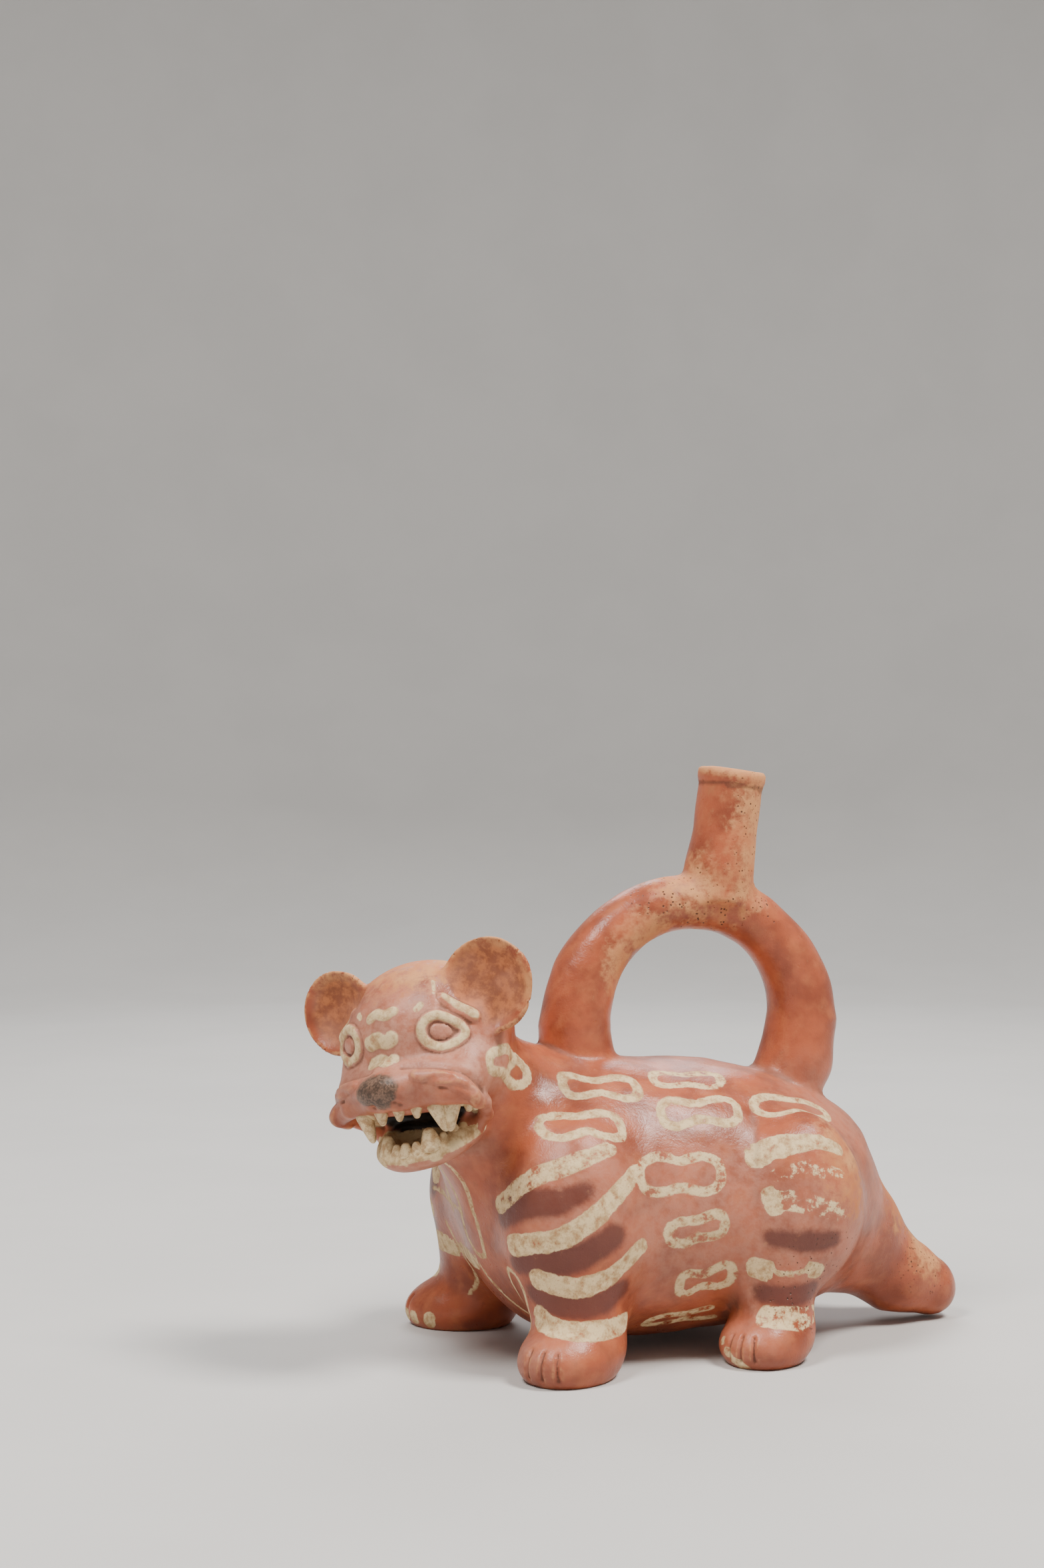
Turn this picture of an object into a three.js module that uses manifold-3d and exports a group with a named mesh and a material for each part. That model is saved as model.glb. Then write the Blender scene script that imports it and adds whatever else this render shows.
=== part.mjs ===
// A stirrup spout vessel: a hollow fired clay feline that stands on four short legs, with its
// head turned to its left. A tubular arch rises from its back and carries the spout, and the
// liquid runs from the spout through both arms of the arch into the body.
//
// Millimetres, +Z up. The animal looks along -X, its left side is -Y, and it stands on Z = 0.
// The modelled clay is built up as rounded lumps, each a distance field that is negative inside,
// blended into one another, and skin() lays a closed surface over them. The arch, the spout, the
// eyes and the teeth are added to that, and the hollow inside is taken out.

import * as THREE from "three";
import { mergeVertices } from "three/addons/utils/BufferGeometryUtils.js";
import Module from "manifold-3d";

// ---------------------------------------------------------------- driving sizes

const WALL = 4.5; // thickness of the clay
const BACK = 97; // height of the back between the arms of the arch
const BELLY = 4; // clearance under the belly
const BODY_HALF_WIDTH = 47;

const ARCH_CENTRE = [-1, 108]; // x and z of the middle of the arch's round part
const ARCH_RADIUS = 43; // of its centre line
const ARM_RADIUS = 12.2; // outer radius of the tube in its arms
const CROWN_RADIUS = 9.2; // and at the crown, under the spout
const CHANNEL_RADIUS = 5.2; // the way through the tube
const ARM_FEET = [[-42.5, 82], [31, 76]]; // x and z of the arms' ends, inside the back

const SPOUT_BASE = [8.5, 151]; // x and z, on the arch's centre line
const SPOUT_LEAN = THREE.MathUtils.degToRad(8); // towards the tail
const SPOUT_LENGTH = 46.5;
const SPOUT_RADIUS = 11.2;
const RIM_RADIUS = 11.9;
const RIM_HEIGHT = 4.2;
const BORE_RADIUS = 7.4;

const TAIL = [[40, 48, 28], [58, 33, 19.6], [77.5, 17.2, 13.4], [91, 11.4, 10.4]]; // x, z, radius

const SKULL = [-100, -11.5, 110.5]; // middle of the skull
const HEAD_TURN = THREE.MathUtils.degToRad(-137); // of the snout, from +X
const HEAD_ROLL = THREE.MathUtils.degToRad(11); // left side up

const FRONT = { thigh: [21, 19, 30], rear: 0, shin: [17, 14], paw: [18.5, 15.5, 10.5], soft: 12 };
const HIND = { thigh: [24, 18, 30], rear: 9, shin: [14, 12.5], paw: [15, 14, 10], soft: 6 };
const LEGS = [
  { ...FRONT, hip: [-57, -34], foot: [-56, -38], splay: 42 },
  { ...FRONT, hip: [-63, 34], foot: [-66, 41], splay: -20 },
  { ...HIND, hip: [13, -36], foot: [13, -39], splay: 35 },
  { ...HIND, hip: [13, 36], foot: [13, 39], splay: -35 },
];
const TOES = 4;

const EARS = [
  { at: [1, 29, 11], radius: 15.4, outward: 8 },
  { at: [1, -29, 9.5], radius: 14.4, outward: 2 },
];
const EYE = { at: [20.3, 18.4, -0.5], length: 17, height: 12.5, band: 1.9, outward: 40, up: 8 };
const BROW = { at: [16.5, 19, 8], length: 20, height: 6.5, depth: 8, outward: 42, droop: 22 };

const CANINE = { length: 8.5, radius: 3.1 };
const TOOTH = { length: 4.5, radius: 2.3 };
const UPPER_JAW = { z: -22.5, depth: 27.5, canineAt: 14.5, bend: 0.02 };
const LOWER_JAW = { z: -37.5, depth: 23, canineAt: 9, bend: 0.03 };
const TEETH = [-1.4, -1, -0.5, 0, 0.5, 1, 1.4]; // across the mouth, with a canine at each 1

// Mesh sizes: the spacing of the grid that each surface is laid on.
const BODY_CELL = 7.6;
const HEAD_CELL = 4;
const CAVITY_CELL = 13;

// ---------------------------------------------------------------- lumps of clay

const egg = ([cx, cy, cz], [rx, ry, rz]) => (x, y, z) => {
  const [a, b, c] = [(x - cx) / rx, (y - cy) / ry, (z - cz) / rz];
  const near = Math.hypot(a, b, c);
  const slope = Math.hypot(a / rx, b / ry, c / rz);
  return slope > 1e-9 ? (near * (near - 1)) / slope : -Math.min(rx, ry, rz);
};

// A cone with round ends, from a ball of radius ra at a to one of radius rb at b.
const limb = (a, b, ra, rb) => {
  const along = [b[0] - a[0], b[1] - a[1], b[2] - a[2]];
  const length2 = along[0] ** 2 + along[1] ** 2 + along[2] ** 2;
  return (x, y, z) => {
    const [px, py, pz] = [x - a[0], y - a[1], z - a[2]];
    const dot = (px * along[0] + py * along[1] + pz * along[2]) / length2;
    const t = Math.min(1, Math.max(0, dot));
    const gap = Math.hypot(px - along[0] * t, py - along[1] * t, pz - along[2] * t);
    return gap - (ra + (rb - ra) * t);
  };
};

const softMin = (a, b, soft) => {
  const h = Math.max(soft - Math.abs(a - b), 0) / soft;
  return Math.min(a, b) - (h * h * soft) / 4;
};

const joined = (soft, ...lumps) => (x, y, z) =>
  lumps.map((lump) => lump(x, y, z)).reduce((a, b) => softMin(a, b, soft));

const carved = (soft, body, tool) => (x, y, z) => -softMin(-body(x, y, z), tool(x, y, z), soft);

const mirrored = (lump) => (x, y, z) => lump(x, Math.abs(y), z);

const thinned = (depth, lump) => (x, y, z) => lump(x, y, z) + depth;

const placed = (matrix, lump) => {
  const inverse = matrix.clone().invert();
  const p = new THREE.Vector3();
  return (x, y, z) => {
    p.set(x, y, z).applyMatrix4(inverse);
    return lump(p.x, p.y, p.z);
  };
};

// ---------------------------------------------------------------- a skin over a field

// Lays a closed surface over field = 0, which lies between from and to: one vertex in each grid
// cell that the surface crosses, drawn onto the surface, and one quad for each crossed grid edge.
function skin(field, from, to, cell) {
  const low = from.map((c) => c - cell);
  const [nx, ny, nz] = [0, 1, 2].map((k) => Math.ceil((to[k] - low[k]) / cell) + 2);
  const at = (i, j, k) => (i * ny + j) * nz + k;
  const value = new Float64Array(nx * ny * nz);
  for (let i = 0; i < nx; i++)
    for (let j = 0; j < ny; j++)
      for (let k = 0; k < nz; k++)
        value[at(i, j, k)] = field(low[0] + i * cell, low[1] + j * cell, low[2] + k * cell);
  settle(value, [ny * nz, nz, 1]);

  const vertices = [];
  const vertexOf = new Int32Array(nx * ny * nz).fill(-1);
  const corners = [0, 1, 2, 3, 4, 5, 6, 7].map((n) => [n & 1, (n >> 1) & 1, (n >> 2) & 1]);
  const edges = corners.flatMap((_, n) => [1, 2, 4].filter((bit) => !(n & bit)).map((bit) => [n, n | bit]));
  for (let i = 0; i < nx - 1; i++)
    for (let j = 0; j < ny - 1; j++)
      for (let k = 0; k < nz - 1; k++) {
        const v = corners.map(([a, b, c]) => value[at(i + a, j + b, k + c)]);
        const crossings = edges
          .filter(([m, n]) => v[m] < 0 !== v[n] < 0)
          .map(([m, n]) => {
            const t = v[m] / (v[m] - v[n]);
            return corners[m].map((c, s) => c + t * (corners[n][s] - c));
          });
        if (!crossings.length) continue;
        const middle = [i, j, k].map((g, s) => {
          const sum = crossings.reduce((total, c) => total + c[s], 0);
          return low[s] + (g + sum / crossings.length) * cell;
        });
        vertexOf[at(i, j, k)] = vertices.length;
        vertices.push(drawnOnto(field, middle, cell));
      }

  const index = [];
  const quad = (a, b, c, d, turned) => {
    const loop = turned ? [a, d, c, b] : [a, b, c, d];
    const [p, q, r, s] = loop.map((n) => vertices[n]);
    const fold = facing(p, q, r).dot(facing(p, r, s)) - facing(p, q, s).dot(facing(q, r, s));
    const [e, f, g, h] = loop;
    index.push(...(fold > 0 ? [e, f, g, e, g, h] : [e, f, h, f, g, h]));
  };
  for (let i = 1; i < nx - 1; i++)
    for (let j = 1; j < ny - 1; j++)
      for (let k = 1; k < nz - 1; k++) {
        const here = value[at(i, j, k)] < 0;
        const w = (a, b, c) => vertexOf[at(i - a, j - b, k - c)];
        if (here !== value[at(i + 1, j, k)] < 0) quad(w(0, 1, 1), w(0, 0, 1), w(0, 0, 0), w(0, 1, 0), !here);
        if (here !== value[at(i, j + 1, k)] < 0) quad(w(1, 0, 1), w(1, 0, 0), w(0, 0, 0), w(0, 0, 1), !here);
        if (here !== value[at(i, j, k + 1)] < 0) quad(w(1, 1, 0), w(0, 1, 0), w(0, 0, 0), w(1, 0, 0), !here);
      }
  return new THREE.BufferGeometry()
    .setAttribute("position", new THREE.Float32BufferAttribute(vertices.flat(), 3))
    .setIndex(index);
}

// Where the corners of a grid square lie inside and outside by turns, the surface would touch
// itself along an edge, so the corner nearest to the surface changes sides.
function settle(value, strides) {
  let changed = true;
  while (changed) {
    changed = false;
    for (const [u, v] of [[0, 1], [1, 2], [0, 2]])
      for (let n = 0; n + strides[u] + strides[v] < value.length; n++) {
        const square = [n, n + strides[u], n + strides[u] + strides[v], n + strides[v]];
        const [a, b, c, d] = square.map((m) => value[m] < 0);
        if (a !== c || b !== d || a === b) continue;
        const nearest = square.reduce((best, m) => (Math.abs(value[m]) < Math.abs(value[best]) ? m : best));
        value[nearest] *= -1;
        changed = true;
      }
  }
}

const facing = (a, b, c) => {
  const [p, q, r] = [a, b, c].map((v) => new THREE.Vector3(...v));
  return q.sub(p).cross(r.sub(p)).normalize();
};

// Moves a point down the field's slope until it lies on the surface, within half a cell.
function drawnOnto(field, start, cell) {
  const step = 0.05;
  const p = [...start];
  for (let pass = 0; pass < 3; pass++) {
    const here = field(...p);
    const slope = [0, 1, 2].map((k) => {
      const q = [...p];
      q[k] += step;
      return (field(...q) - here) / step;
    });
    const steep = slope[0] ** 2 + slope[1] ** 2 + slope[2] ** 2;
    if (steep < 0.05) break;
    for (let k = 0; k < 3; k++) p[k] -= (here * slope[k]) / steep;
  }
  const moved = Math.hypot(p[0] - start[0], p[1] - start[1], p[2] - start[2]);
  return moved < 0.5 * cell ? p : start;
}

// ---------------------------------------------------------------- the modelled forms

const MID = (BACK + BELLY) / 2;
const HALF_HEIGHT = (BACK - BELLY) / 2;

const barrel = joined(
  16,
  egg([-44, 0, MID + 1.5], [40, BODY_HALF_WIDTH - 2, HALF_HEIGHT]),
  egg([-8, 0, MID - 0.5], [57, BODY_HALF_WIDTH, HALF_HEIGHT]),
  egg([25, 0, MID - 2], [37, BODY_HALF_WIDTH - 4, HALF_HEIGHT - 8]),
);
const neck = limb([-60, 0, 70], [SKULL[0] + 8, SKULL[1] + 3, SKULL[2] - 14], 29, 22);
const tail = joined(
  6,
  ...TAIL.slice(1).map(([x, z, r], n) => limb([TAIL[n][0], 0, TAIL[n][1]], [x, 0, z], TAIL[n][2], r)),
);
const trunk = joined(14, barrel, neck, tail);
const chamber = thinned(WALL, joined(14, barrel, neck));

function pawMatrix({ foot, splay }) {
  const turn = THREE.MathUtils.degToRad(180 + splay);
  return new THREE.Matrix4()
    .makeRotationZ(turn)
    .setPosition(foot[0] + 7 * Math.cos(turn), foot[1] + 7 * Math.sin(turn), 6);
}

function legLump(leg) {
  const { hip, foot, thigh, rear, shin, paw } = leg;
  return joined(
    8,
    egg([hip[0] + rear, hip[1], 51], thigh),
    limb([hip[0], hip[1], 44], [foot[0] + 1, foot[1], 12], ...shin),
    placed(pawMatrix(leg), egg([0, 0, 0], paw)),
  );
}

const body = LEGS.reduce((all, leg) => joined(leg.soft, all, legLump(leg)), trunk);

// The head in its own frame: +X out of the snout, +Y to the animal's left, +Z up.
function headLump() {
  const skull = egg([-2, 0, 0], [27, 29, 23]);
  const cheeks = mirrored(egg([6, 15, -13], [15, 14, 12]));
  const muzzle = egg([16, 0, -16], [16.5, 25, 8.5]);
  const flares = mirrored(egg([19, 20, -21], [8, 6, 5]));
  const nose = egg([27, 0, -15], [7, 8, 6]);
  const throat = egg([-2, 0, -22], [20, 24, 19]);
  const jaw = egg([7, 0, -37], [18, 18, 7.5]);
  const mouth = egg([27, 0, -29.5], [19, 28, 6.2]);
  const face = joined(6, skull, cheeks, muzzle, throat, jaw);
  return carved(1.5, joined(2.5, face, nose, flares), mouth);
}

function headMatrix() {
  const turn = new THREE.Euler(HEAD_ROLL, 0, HEAD_TURN, "ZYX");
  return new THREE.Matrix4().makeRotationFromEuler(turn).setPosition(...SKULL);
}

// ---------------------------------------------------------------- solids

const wasm = await Module();
wasm.setup();

function solid(geometry) {
  const bare = new THREE.BufferGeometry()
    .setAttribute("position", geometry.getAttribute("position"))
    .setIndex(geometry.index);
  const merged = mergeVertices(bare, 1e-4);
  return new wasm.Manifold(
    new wasm.Mesh({
      numProp: 3,
      vertProperties: new Float32Array(merged.attributes.position.array),
      triVerts: new Uint32Array(merged.index.array),
    }),
  );
}

function geometryOf(manifold) {
  const mesh = manifold.getMesh();
  return new THREE.BufferGeometry()
    .setAttribute("position", new THREE.BufferAttribute(mesh.vertProperties, 3))
    .setIndex(new THREE.BufferAttribute(mesh.triVerts, 1));
}

// The arch's centre line: down into the back on both sides, and round between.
function archCurve() {
  const [cx, cz] = ARCH_CENTRE;
  const points = [];
  for (let turn = 180; turn >= 0; turn -= 22.5) {
    const t = THREE.MathUtils.degToRad(turn);
    points.push(new THREE.Vector3(cx + ARCH_RADIUS * Math.cos(t), 0, cz + ARCH_RADIUS * Math.sin(t)));
  }
  const [front, rear] = ARM_FEET.map(([x, z]) => new THREE.Vector3(x, 0, z));
  return new THREE.CatmullRomCurve3([front, ...points, rear], false, "centripetal");
}

// A closed tube along a curve, whose radius is radiusAt(t) at t from 0 to 1 along it.
function tube(curve, radiusAt, steps, sides) {
  const section = new THREE.Shape().absarc(0, 0, 1, 0, 2 * Math.PI);
  const geometry = new THREE.ExtrudeGeometry(section, {
    steps,
    curveSegments: sides / 2,
    bevelEnabled: false,
    extrudePath: curve,
  });
  const centres = curve.getSpacedPoints(steps);
  const vertices = geometry.getAttribute("position");
  const v = new THREE.Vector3();
  for (let n = 0; n < vertices.count; n++) {
    v.fromBufferAttribute(vertices, n);
    const ring = centres.findIndex((centre) => Math.abs(centre.distanceTo(v) - 1) < 1e-3);
    const centre = centres[ring];
    v.sub(centre).multiplyScalar(radiusAt(ring / steps)).add(centre);
    vertices.setXYZ(n, v.x, v.y, v.z);
  }
  return geometry;
}

const armRadius = (t) => CROWN_RADIUS + (ARM_RADIUS - CROWN_RADIUS) * Math.abs(2 * t - 1) ** 1.5;

// A turned form on the spout's own axis, from pairs of radius and height above the crown.
function turned(outline, sides) {
  const profile = outline.map(([r, h]) => new THREE.Vector2(r, h));
  return new THREE.LatheGeometry(profile, sides)
    .rotateX(Math.PI / 2)
    .rotateY(SPOUT_LEAN)
    .translate(SPOUT_BASE[0], 0, SPOUT_BASE[1]);
}

function spout() {
  const neckTop = SPOUT_LENGTH - RIM_HEIGHT;
  const outline = [
    [0, 0],
    [SPOUT_RADIUS + 1, 0],
    [SPOUT_RADIUS + 0.8, 12],
    [SPOUT_RADIUS - 0.2, 24],
    [SPOUT_RADIUS, neckTop - 1],
    [RIM_RADIUS, neckTop],
    [RIM_RADIUS, SPOUT_LENGTH],
    [0, SPOUT_LENGTH],
  ];
  return turned(outline, 18);
}

function bore() {
  const above = SPOUT_LENGTH + 5;
  return turned([[0, 0], [BORE_RADIUS, 4], [BORE_RADIUS, above], [0, above]], 12);
}

// An ear is a dish that opens forward.
function ear({ at, radius, outward }) {
  const profile = [[0, -3.2], [0.6, -2.6], [0.9, 0.2], [1, 4], [0.94, 5.4], [0.74, 3], [0.4, 1.2], [0, 0.6]];
  const turn = THREE.MathUtils.degToRad(Math.sign(at[1]) * outward);
  return new THREE.LatheGeometry(profile.map(([r, h]) => new THREE.Vector2(r * radius, h)), 20)
    .rotateZ(-Math.PI / 2)
    .rotateZ(turn)
    .translate(...at)
    .applyMatrix4(headMatrix());
}

// The raised ring round each eye.
function eye(side) {
  const { at, length, height, band, outward, up } = EYE;
  const turn = new THREE.Euler(0, THREE.MathUtils.degToRad(-up), THREE.MathUtils.degToRad(side * outward), "ZYX");
  return new THREE.TorusGeometry(length / 2 - band, band, 6, 14)
    .scale(1, (height - 2 * band) / (length - 2 * band), 0.8)
    .rotateY(Math.PI / 2)
    .rotateX(Math.PI / 2)
    .applyMatrix4(new THREE.Matrix4().makeRotationFromEuler(turn))
    .translate(at[0], side * at[1], at[2])
    .applyMatrix4(headMatrix());
}

// The ridge over each eye.
function brow(side) {
  const { at, length, height, depth, outward, droop } = BROW;
  const turn = new THREE.Euler(
    THREE.MathUtils.degToRad(-side * droop),
    0,
    THREE.MathUtils.degToRad(side * outward),
    "ZYX",
  );
  return new THREE.SphereGeometry(1, 10, 7)
    .scale(depth / 2, length / 2, height / 2)
    .applyMatrix4(new THREE.Matrix4().makeRotationFromEuler(turn))
    .translate(at[0], side * at[1], at[2])
    .applyMatrix4(headMatrix());
}

// A row of teeth round a jaw: a canine at each corner and smaller ones between and behind.
function teeth({ z, depth, canineAt, bend }, up) {
  const way = up ? 1 : -1;
  return TEETH.map((place) => {
    const { length, radius } = Math.abs(place) === 1 ? CANINE : TOOTH;
    const across = place * canineAt;
    return new THREE.ConeGeometry(radius, length, 5)
      .rotateX((way * Math.PI) / 2)
      .translate(depth - bend * across ** 2, across, z + (way * length) / 2)
      .applyMatrix4(headMatrix());
  });
}

// Narrow wedges that part the toes of a paw.
function toeCuts(leg) {
  const [length, width, height] = leg.paw;
  const cuts = [];
  for (let n = 1; n < TOES; n++) {
    const across = (n / TOES - 0.5) * 2 * width * 0.8;
    const cut = new THREE.CylinderGeometry(1.1, 1.1, 8, 4)
      .rotateX(Math.PI / 2)
      .rotateY(-0.5)
      .translate(length - 0.4 - (across * across) / 26, across, -height / 2 + 2);
    cuts.push(cut.applyMatrix4(pawMatrix(leg)));
  }
  return cuts;
}

const join = (geometries) => geometries.map(solid).reduce((all, piece) => all.add(piece));

const clay = join([
  skin(body, [-125, -65, -10], [110, 65, 135], BODY_CELL),
  skin(headLump(), [-40, -52, -52], [52, 52, 52], HEAD_CELL).applyMatrix4(headMatrix()),
  tube(archCurve(), armRadius, 22, 14),
  spout(),
  ...EARS.map(ear),
  ...[-1, 1].flatMap((side) => [eye(side), brow(side)]),
  ...teeth(UPPER_JAW, false),
  ...teeth(LOWER_JAW, true),
]);

const hollow = join([
  skin(chamber, [-125, -50, 0], [70, 50, 130], CAVITY_CELL),
  tube(archCurve(), () => CHANNEL_RADIUS, 18, 8),
  bore(),
]);

const ground = new THREE.BoxGeometry(400, 400, 60).translate(0, 0, -30);
const fired = clay.subtract(hollow).subtract(join([ground, ...LEGS.flatMap(toeCuts)]));

const terracotta = new THREE.MeshStandardMaterial({ color: 0xa8583c, roughness: 0.55, metalness: 0 });
const vessel = new THREE.Mesh(geometryOf(fired), terracotta);
vessel.name = "vessel";

// The origin is on the floor, under the middle of the vessel's box.
vessel.geometry.computeBoundingBox();
const box = vessel.geometry.boundingBox;
vessel.position.set(-(box.min.x + box.max.x) / 2, -(box.min.y + box.max.y) / 2, -box.min.z);

const part = new THREE.Group();
part.add(vessel);

export default part;
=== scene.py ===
"""Looks of a stirrup spout vessel: a hollow fired feline in burnished, painted and worn slip.

The clay is one closed skin laid over a field of blended lumps, worked out in millimetres in the
sculpting frame: the animal looks along -X, its left side is -Y, and it stands on Z = 0.
"""

import math

import bpy
import numpy as np
from bpy.props import FloatProperty, FloatVectorProperty, IntProperty, PointerProperty
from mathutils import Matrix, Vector
from mathutils.kdtree import KDTree


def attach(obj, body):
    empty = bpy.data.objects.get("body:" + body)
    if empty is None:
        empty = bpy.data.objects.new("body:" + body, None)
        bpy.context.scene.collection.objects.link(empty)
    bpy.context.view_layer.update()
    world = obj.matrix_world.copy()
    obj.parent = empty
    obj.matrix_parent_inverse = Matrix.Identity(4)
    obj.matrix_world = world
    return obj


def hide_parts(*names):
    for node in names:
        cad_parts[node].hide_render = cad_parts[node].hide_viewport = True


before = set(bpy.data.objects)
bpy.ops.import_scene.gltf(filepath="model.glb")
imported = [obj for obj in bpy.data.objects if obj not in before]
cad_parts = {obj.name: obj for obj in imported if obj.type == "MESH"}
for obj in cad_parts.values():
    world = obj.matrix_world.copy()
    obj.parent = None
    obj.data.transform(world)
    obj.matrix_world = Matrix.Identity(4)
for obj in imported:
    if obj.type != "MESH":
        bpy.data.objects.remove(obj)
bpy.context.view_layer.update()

bl_info = {
    "name": "Stirrup Spout Vessel",
    "version": (1, 0, 0),
    "blender": (4, 5, 0),
    "location": "View3D > Sidebar > Vessel",
    "description": "Models and paints a feline stirrup spout vessel of fired clay",
    "category": "Add Mesh",
}

MM = 0.001
TO_FRAME = np.array([16.656, 0.25, 0.0])  # from the sculpting frame to the vessel's own
FAR = 60.0  # a distance at which a lump no longer matters

# ---- colours, linear

SLIP_DEEP = (0.25, 0.06, 0.03)
SLIP_RED = (0.4, 0.098, 0.044)
SLIP_ORANGE = (0.52, 0.17, 0.07)
HAZE = (0.52, 0.245, 0.17)
MAROON = (0.1, 0.028, 0.022)
CREAM = (0.7, 0.53, 0.3)
CREAM_SHADE = (0.43, 0.26, 0.12)
CLAY_TAN = (0.58, 0.265, 0.11)
CLAY_ORANGE = (0.5, 0.17, 0.065)
# Brown of the ears' bowls: partly their own colour, partly painted shade that fills in towards the
# middle of each hollow.
BOWL_BROWN = (0.26, 0.085, 0.04)
NOSE_DARK = (0.065, 0.04, 0.028)
NOSE_PALE = (0.19, 0.11, 0.075)
# Dark brown: real grime in pits and flecks on the teeth, and painted shade in creases and hollows.
DIRT_AND_SHADE = (0.075, 0.03, 0.018)
# Very dark: painted shade deep in the mouth and down the spout's bore.
DEEP_SHADE = (0.01, 0.006, 0.005)

SHINE = 0.32  # specular level of the slip
BURNISHED = 0.3  # roughness of bare slip, of slip under a haze, and of paint and raw clay
HAZED = 0.5
MATT = 0.74

# ---- sizes of the clay, millimetres

BACK = 97
BELLY = 4
BODY_HALF_WIDTH = 47
MIDDLE = (BACK + BELLY) / 2
HALF_HEIGHT = (BACK - BELLY) / 2

ARCH_CENTRE = (-1, 108.5)
ARCH_RADIUS = 42.5
CROWN_RADIUS = 9.2
SPRING_RADIUS = 12.4  # of the tube where the round of the arch ends
FOOT_RADIUS = 13.2
FRONT_ARM = ((-43.5, 108.5), (-42, 82))
REAR_ARM = ((41.5, 108.5), (38.6, 94), (30, 76))

SPOUT_BASE = (8.5, 151)
SPOUT_LEAN = math.radians(8)
SPOUT_LENGTH = 46.5
SPOUT_OUTLINE = ((-6, 13.5), (0, 12.2), (12, 12), (24, 11), (41.3, 11.2), (42.5, 11.9), (47, 11.9))
UNDER_LIP = 40.6  # height of the faint groove below the spout's lip
# The groove under the lip is not cut in the clay: a band there is darkened as grime and painted shade.
GROOVE_WIDTH = 2.2
GROOVE_DIRT_AND_SHADE = 0.3
BORE_DEPTH = 48

TAIL = ((40, 48, 28), (58, 33, 19.6), (77.5, 17.2, 13.4), (91, 11.4, 10.4))

SKULL = np.array([-100, -11.5, 110.5])
HEAD_TURN = math.radians(-137)
HEAD_ROLL = math.radians(11)

FRONT_LEG = {"thigh": (21, 19, 30), "rear": 0, "shin": (17, 14), "paw": (18.5, 15.5, 10.5), "soft": 12}
HIND_LEG = {"thigh": (24, 18, 30), "rear": 9, "shin": (14, 12.5), "paw": (15, 14, 10), "soft": 6}
LEGS = (
    {**FRONT_LEG, "hip": (-57, -34), "foot": (-56, -38), "splay": 42},
    {**FRONT_LEG, "hip": (-63, 34), "foot": (-66, 41), "splay": -20},
    {**HIND_LEG, "hip": (13, -36), "foot": (13, -39), "splay": 35},
    {**HIND_LEG, "hip": (13, 36), "foot": (13, 39), "splay": -35},
)
TOES = 4

# Corners of boxes well round each form, beyond which it is too far away to matter.
HEAD_SPACE = ((-160, -80, 45), (-40, 55, 165))
ARCH_SPACE = ((-90, -40, 55), (90, 40, 185))
SPOUT_SPACE = ((-20, -30, 140), (45, 30, 215))
FACE_SPACE = ((3, -34, -48), (60, 34, 28))  # in the head's own frame

EARS = (
    {"at": (1, 28.6, 11.5), "radius": 15.7, "outward": 8},
    {"at": (1, -29.3, 10.6), "radius": 14.2, "outward": 2},
)

MOUTH = ((27, 0, -30.2), (21, 27.5, 6.4))  # middle and half sizes
MOUTH_FLOOR = ((12, 0, -34), (11, 13, 4))
JAW_RISE = 0.27  # how fast the jaws rise towards their corners
JAW_PIVOT = 22
UPPER_LIP = (  # x, y, z and radius along the left half of the lip
    (29, 3, -20, 2.5),
    (25, 10, -20.5, 2.2),
    (24.5, 18, -21, 2.2),
    (20.5, 25, -22.8, 2.4),
    (12, 24.5, -25.5, 2.2),
    (6.5, 21.5, -29.5, 2.2),
    (7, 18, -33, 1.6),
)
UPPER_GUM = (
    (24.5, 0, -23.3, 1.9),
    (22.5, 11, -23.2, 2.2),
    (17, 18, -23, 2.2),
    (9, 19, -25, 2),
    (4, 18.2, -27.5, 2.2),
)
LOWER_GUM = (
    (23, 0, -38.7, 2),
    (20.5, 9, -38.2, 2.2),
    (14, 13.5, -37.3, 2.2),
    (5, 14, -36.2, 2),
    (-1, 15.2, -34.2, 2.2),
)

# ---- lumps of clay

# A lump is a function of points, an array of N rows, that gives the distance of each to the lump's
# surface, negative inside.


def egg(centre, radii):
    def lump(points):
        scaled = (points - centre) / radii
        near = np.linalg.norm(scaled, axis=1)
        slope = np.linalg.norm(scaled / radii, axis=1)
        return near * (near - 1) / np.maximum(slope, 1e-9)

    return lump


def limb(start, end, start_radius, end_radius):
    """A cone with round ends."""
    start, end = np.array(start, float), np.array(end, float)
    along = end - start

    def lump(points):
        offset = points - start
        part = np.clip(offset @ along / (along @ along), 0, 1)
        gap = np.linalg.norm(offset - part[:, None] * along, axis=1)
        return gap - (start_radius + (end_radius - start_radius) * part)

    return lump


def soft_min(a, b, soft):
    blend = np.maximum(1 - np.abs(a - b) / (1.5 * soft), 0)
    return np.minimum(a, b) - blend**3 * soft / 4


def joined(soft, *lumps):
    def lump(points):
        total = lumps[0](points)
        for other in lumps[1:]:
            total = soft_min(total, other(points), soft)
        return total

    return lump


def chain(path, soft=1.0):
    """A string of round-ended cones through points that end in their radius."""
    return joined(soft, *[limb(a[:3], b[:3], a[3], b[3]) for a, b in zip(path, path[1:])])


def carved(soft, body, tool):
    return lambda points: -soft_min(-body(points), tool(points), soft)


def mirrored(lump):
    return lambda points: lump(np.column_stack([points[:, 0], np.abs(points[:, 1]), points[:, 2]]))


def within(points, low, high):
    return np.all((points > low) & (points < high), axis=1)


def kept_near(lump, low, high):
    """The lump, worked out only inside a box."""

    def near(points):
        inside = within(points, low, high)
        distance = np.full(len(points), FAR)
        distance[inside] = lump(points[inside])
        return distance

    return near


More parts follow.
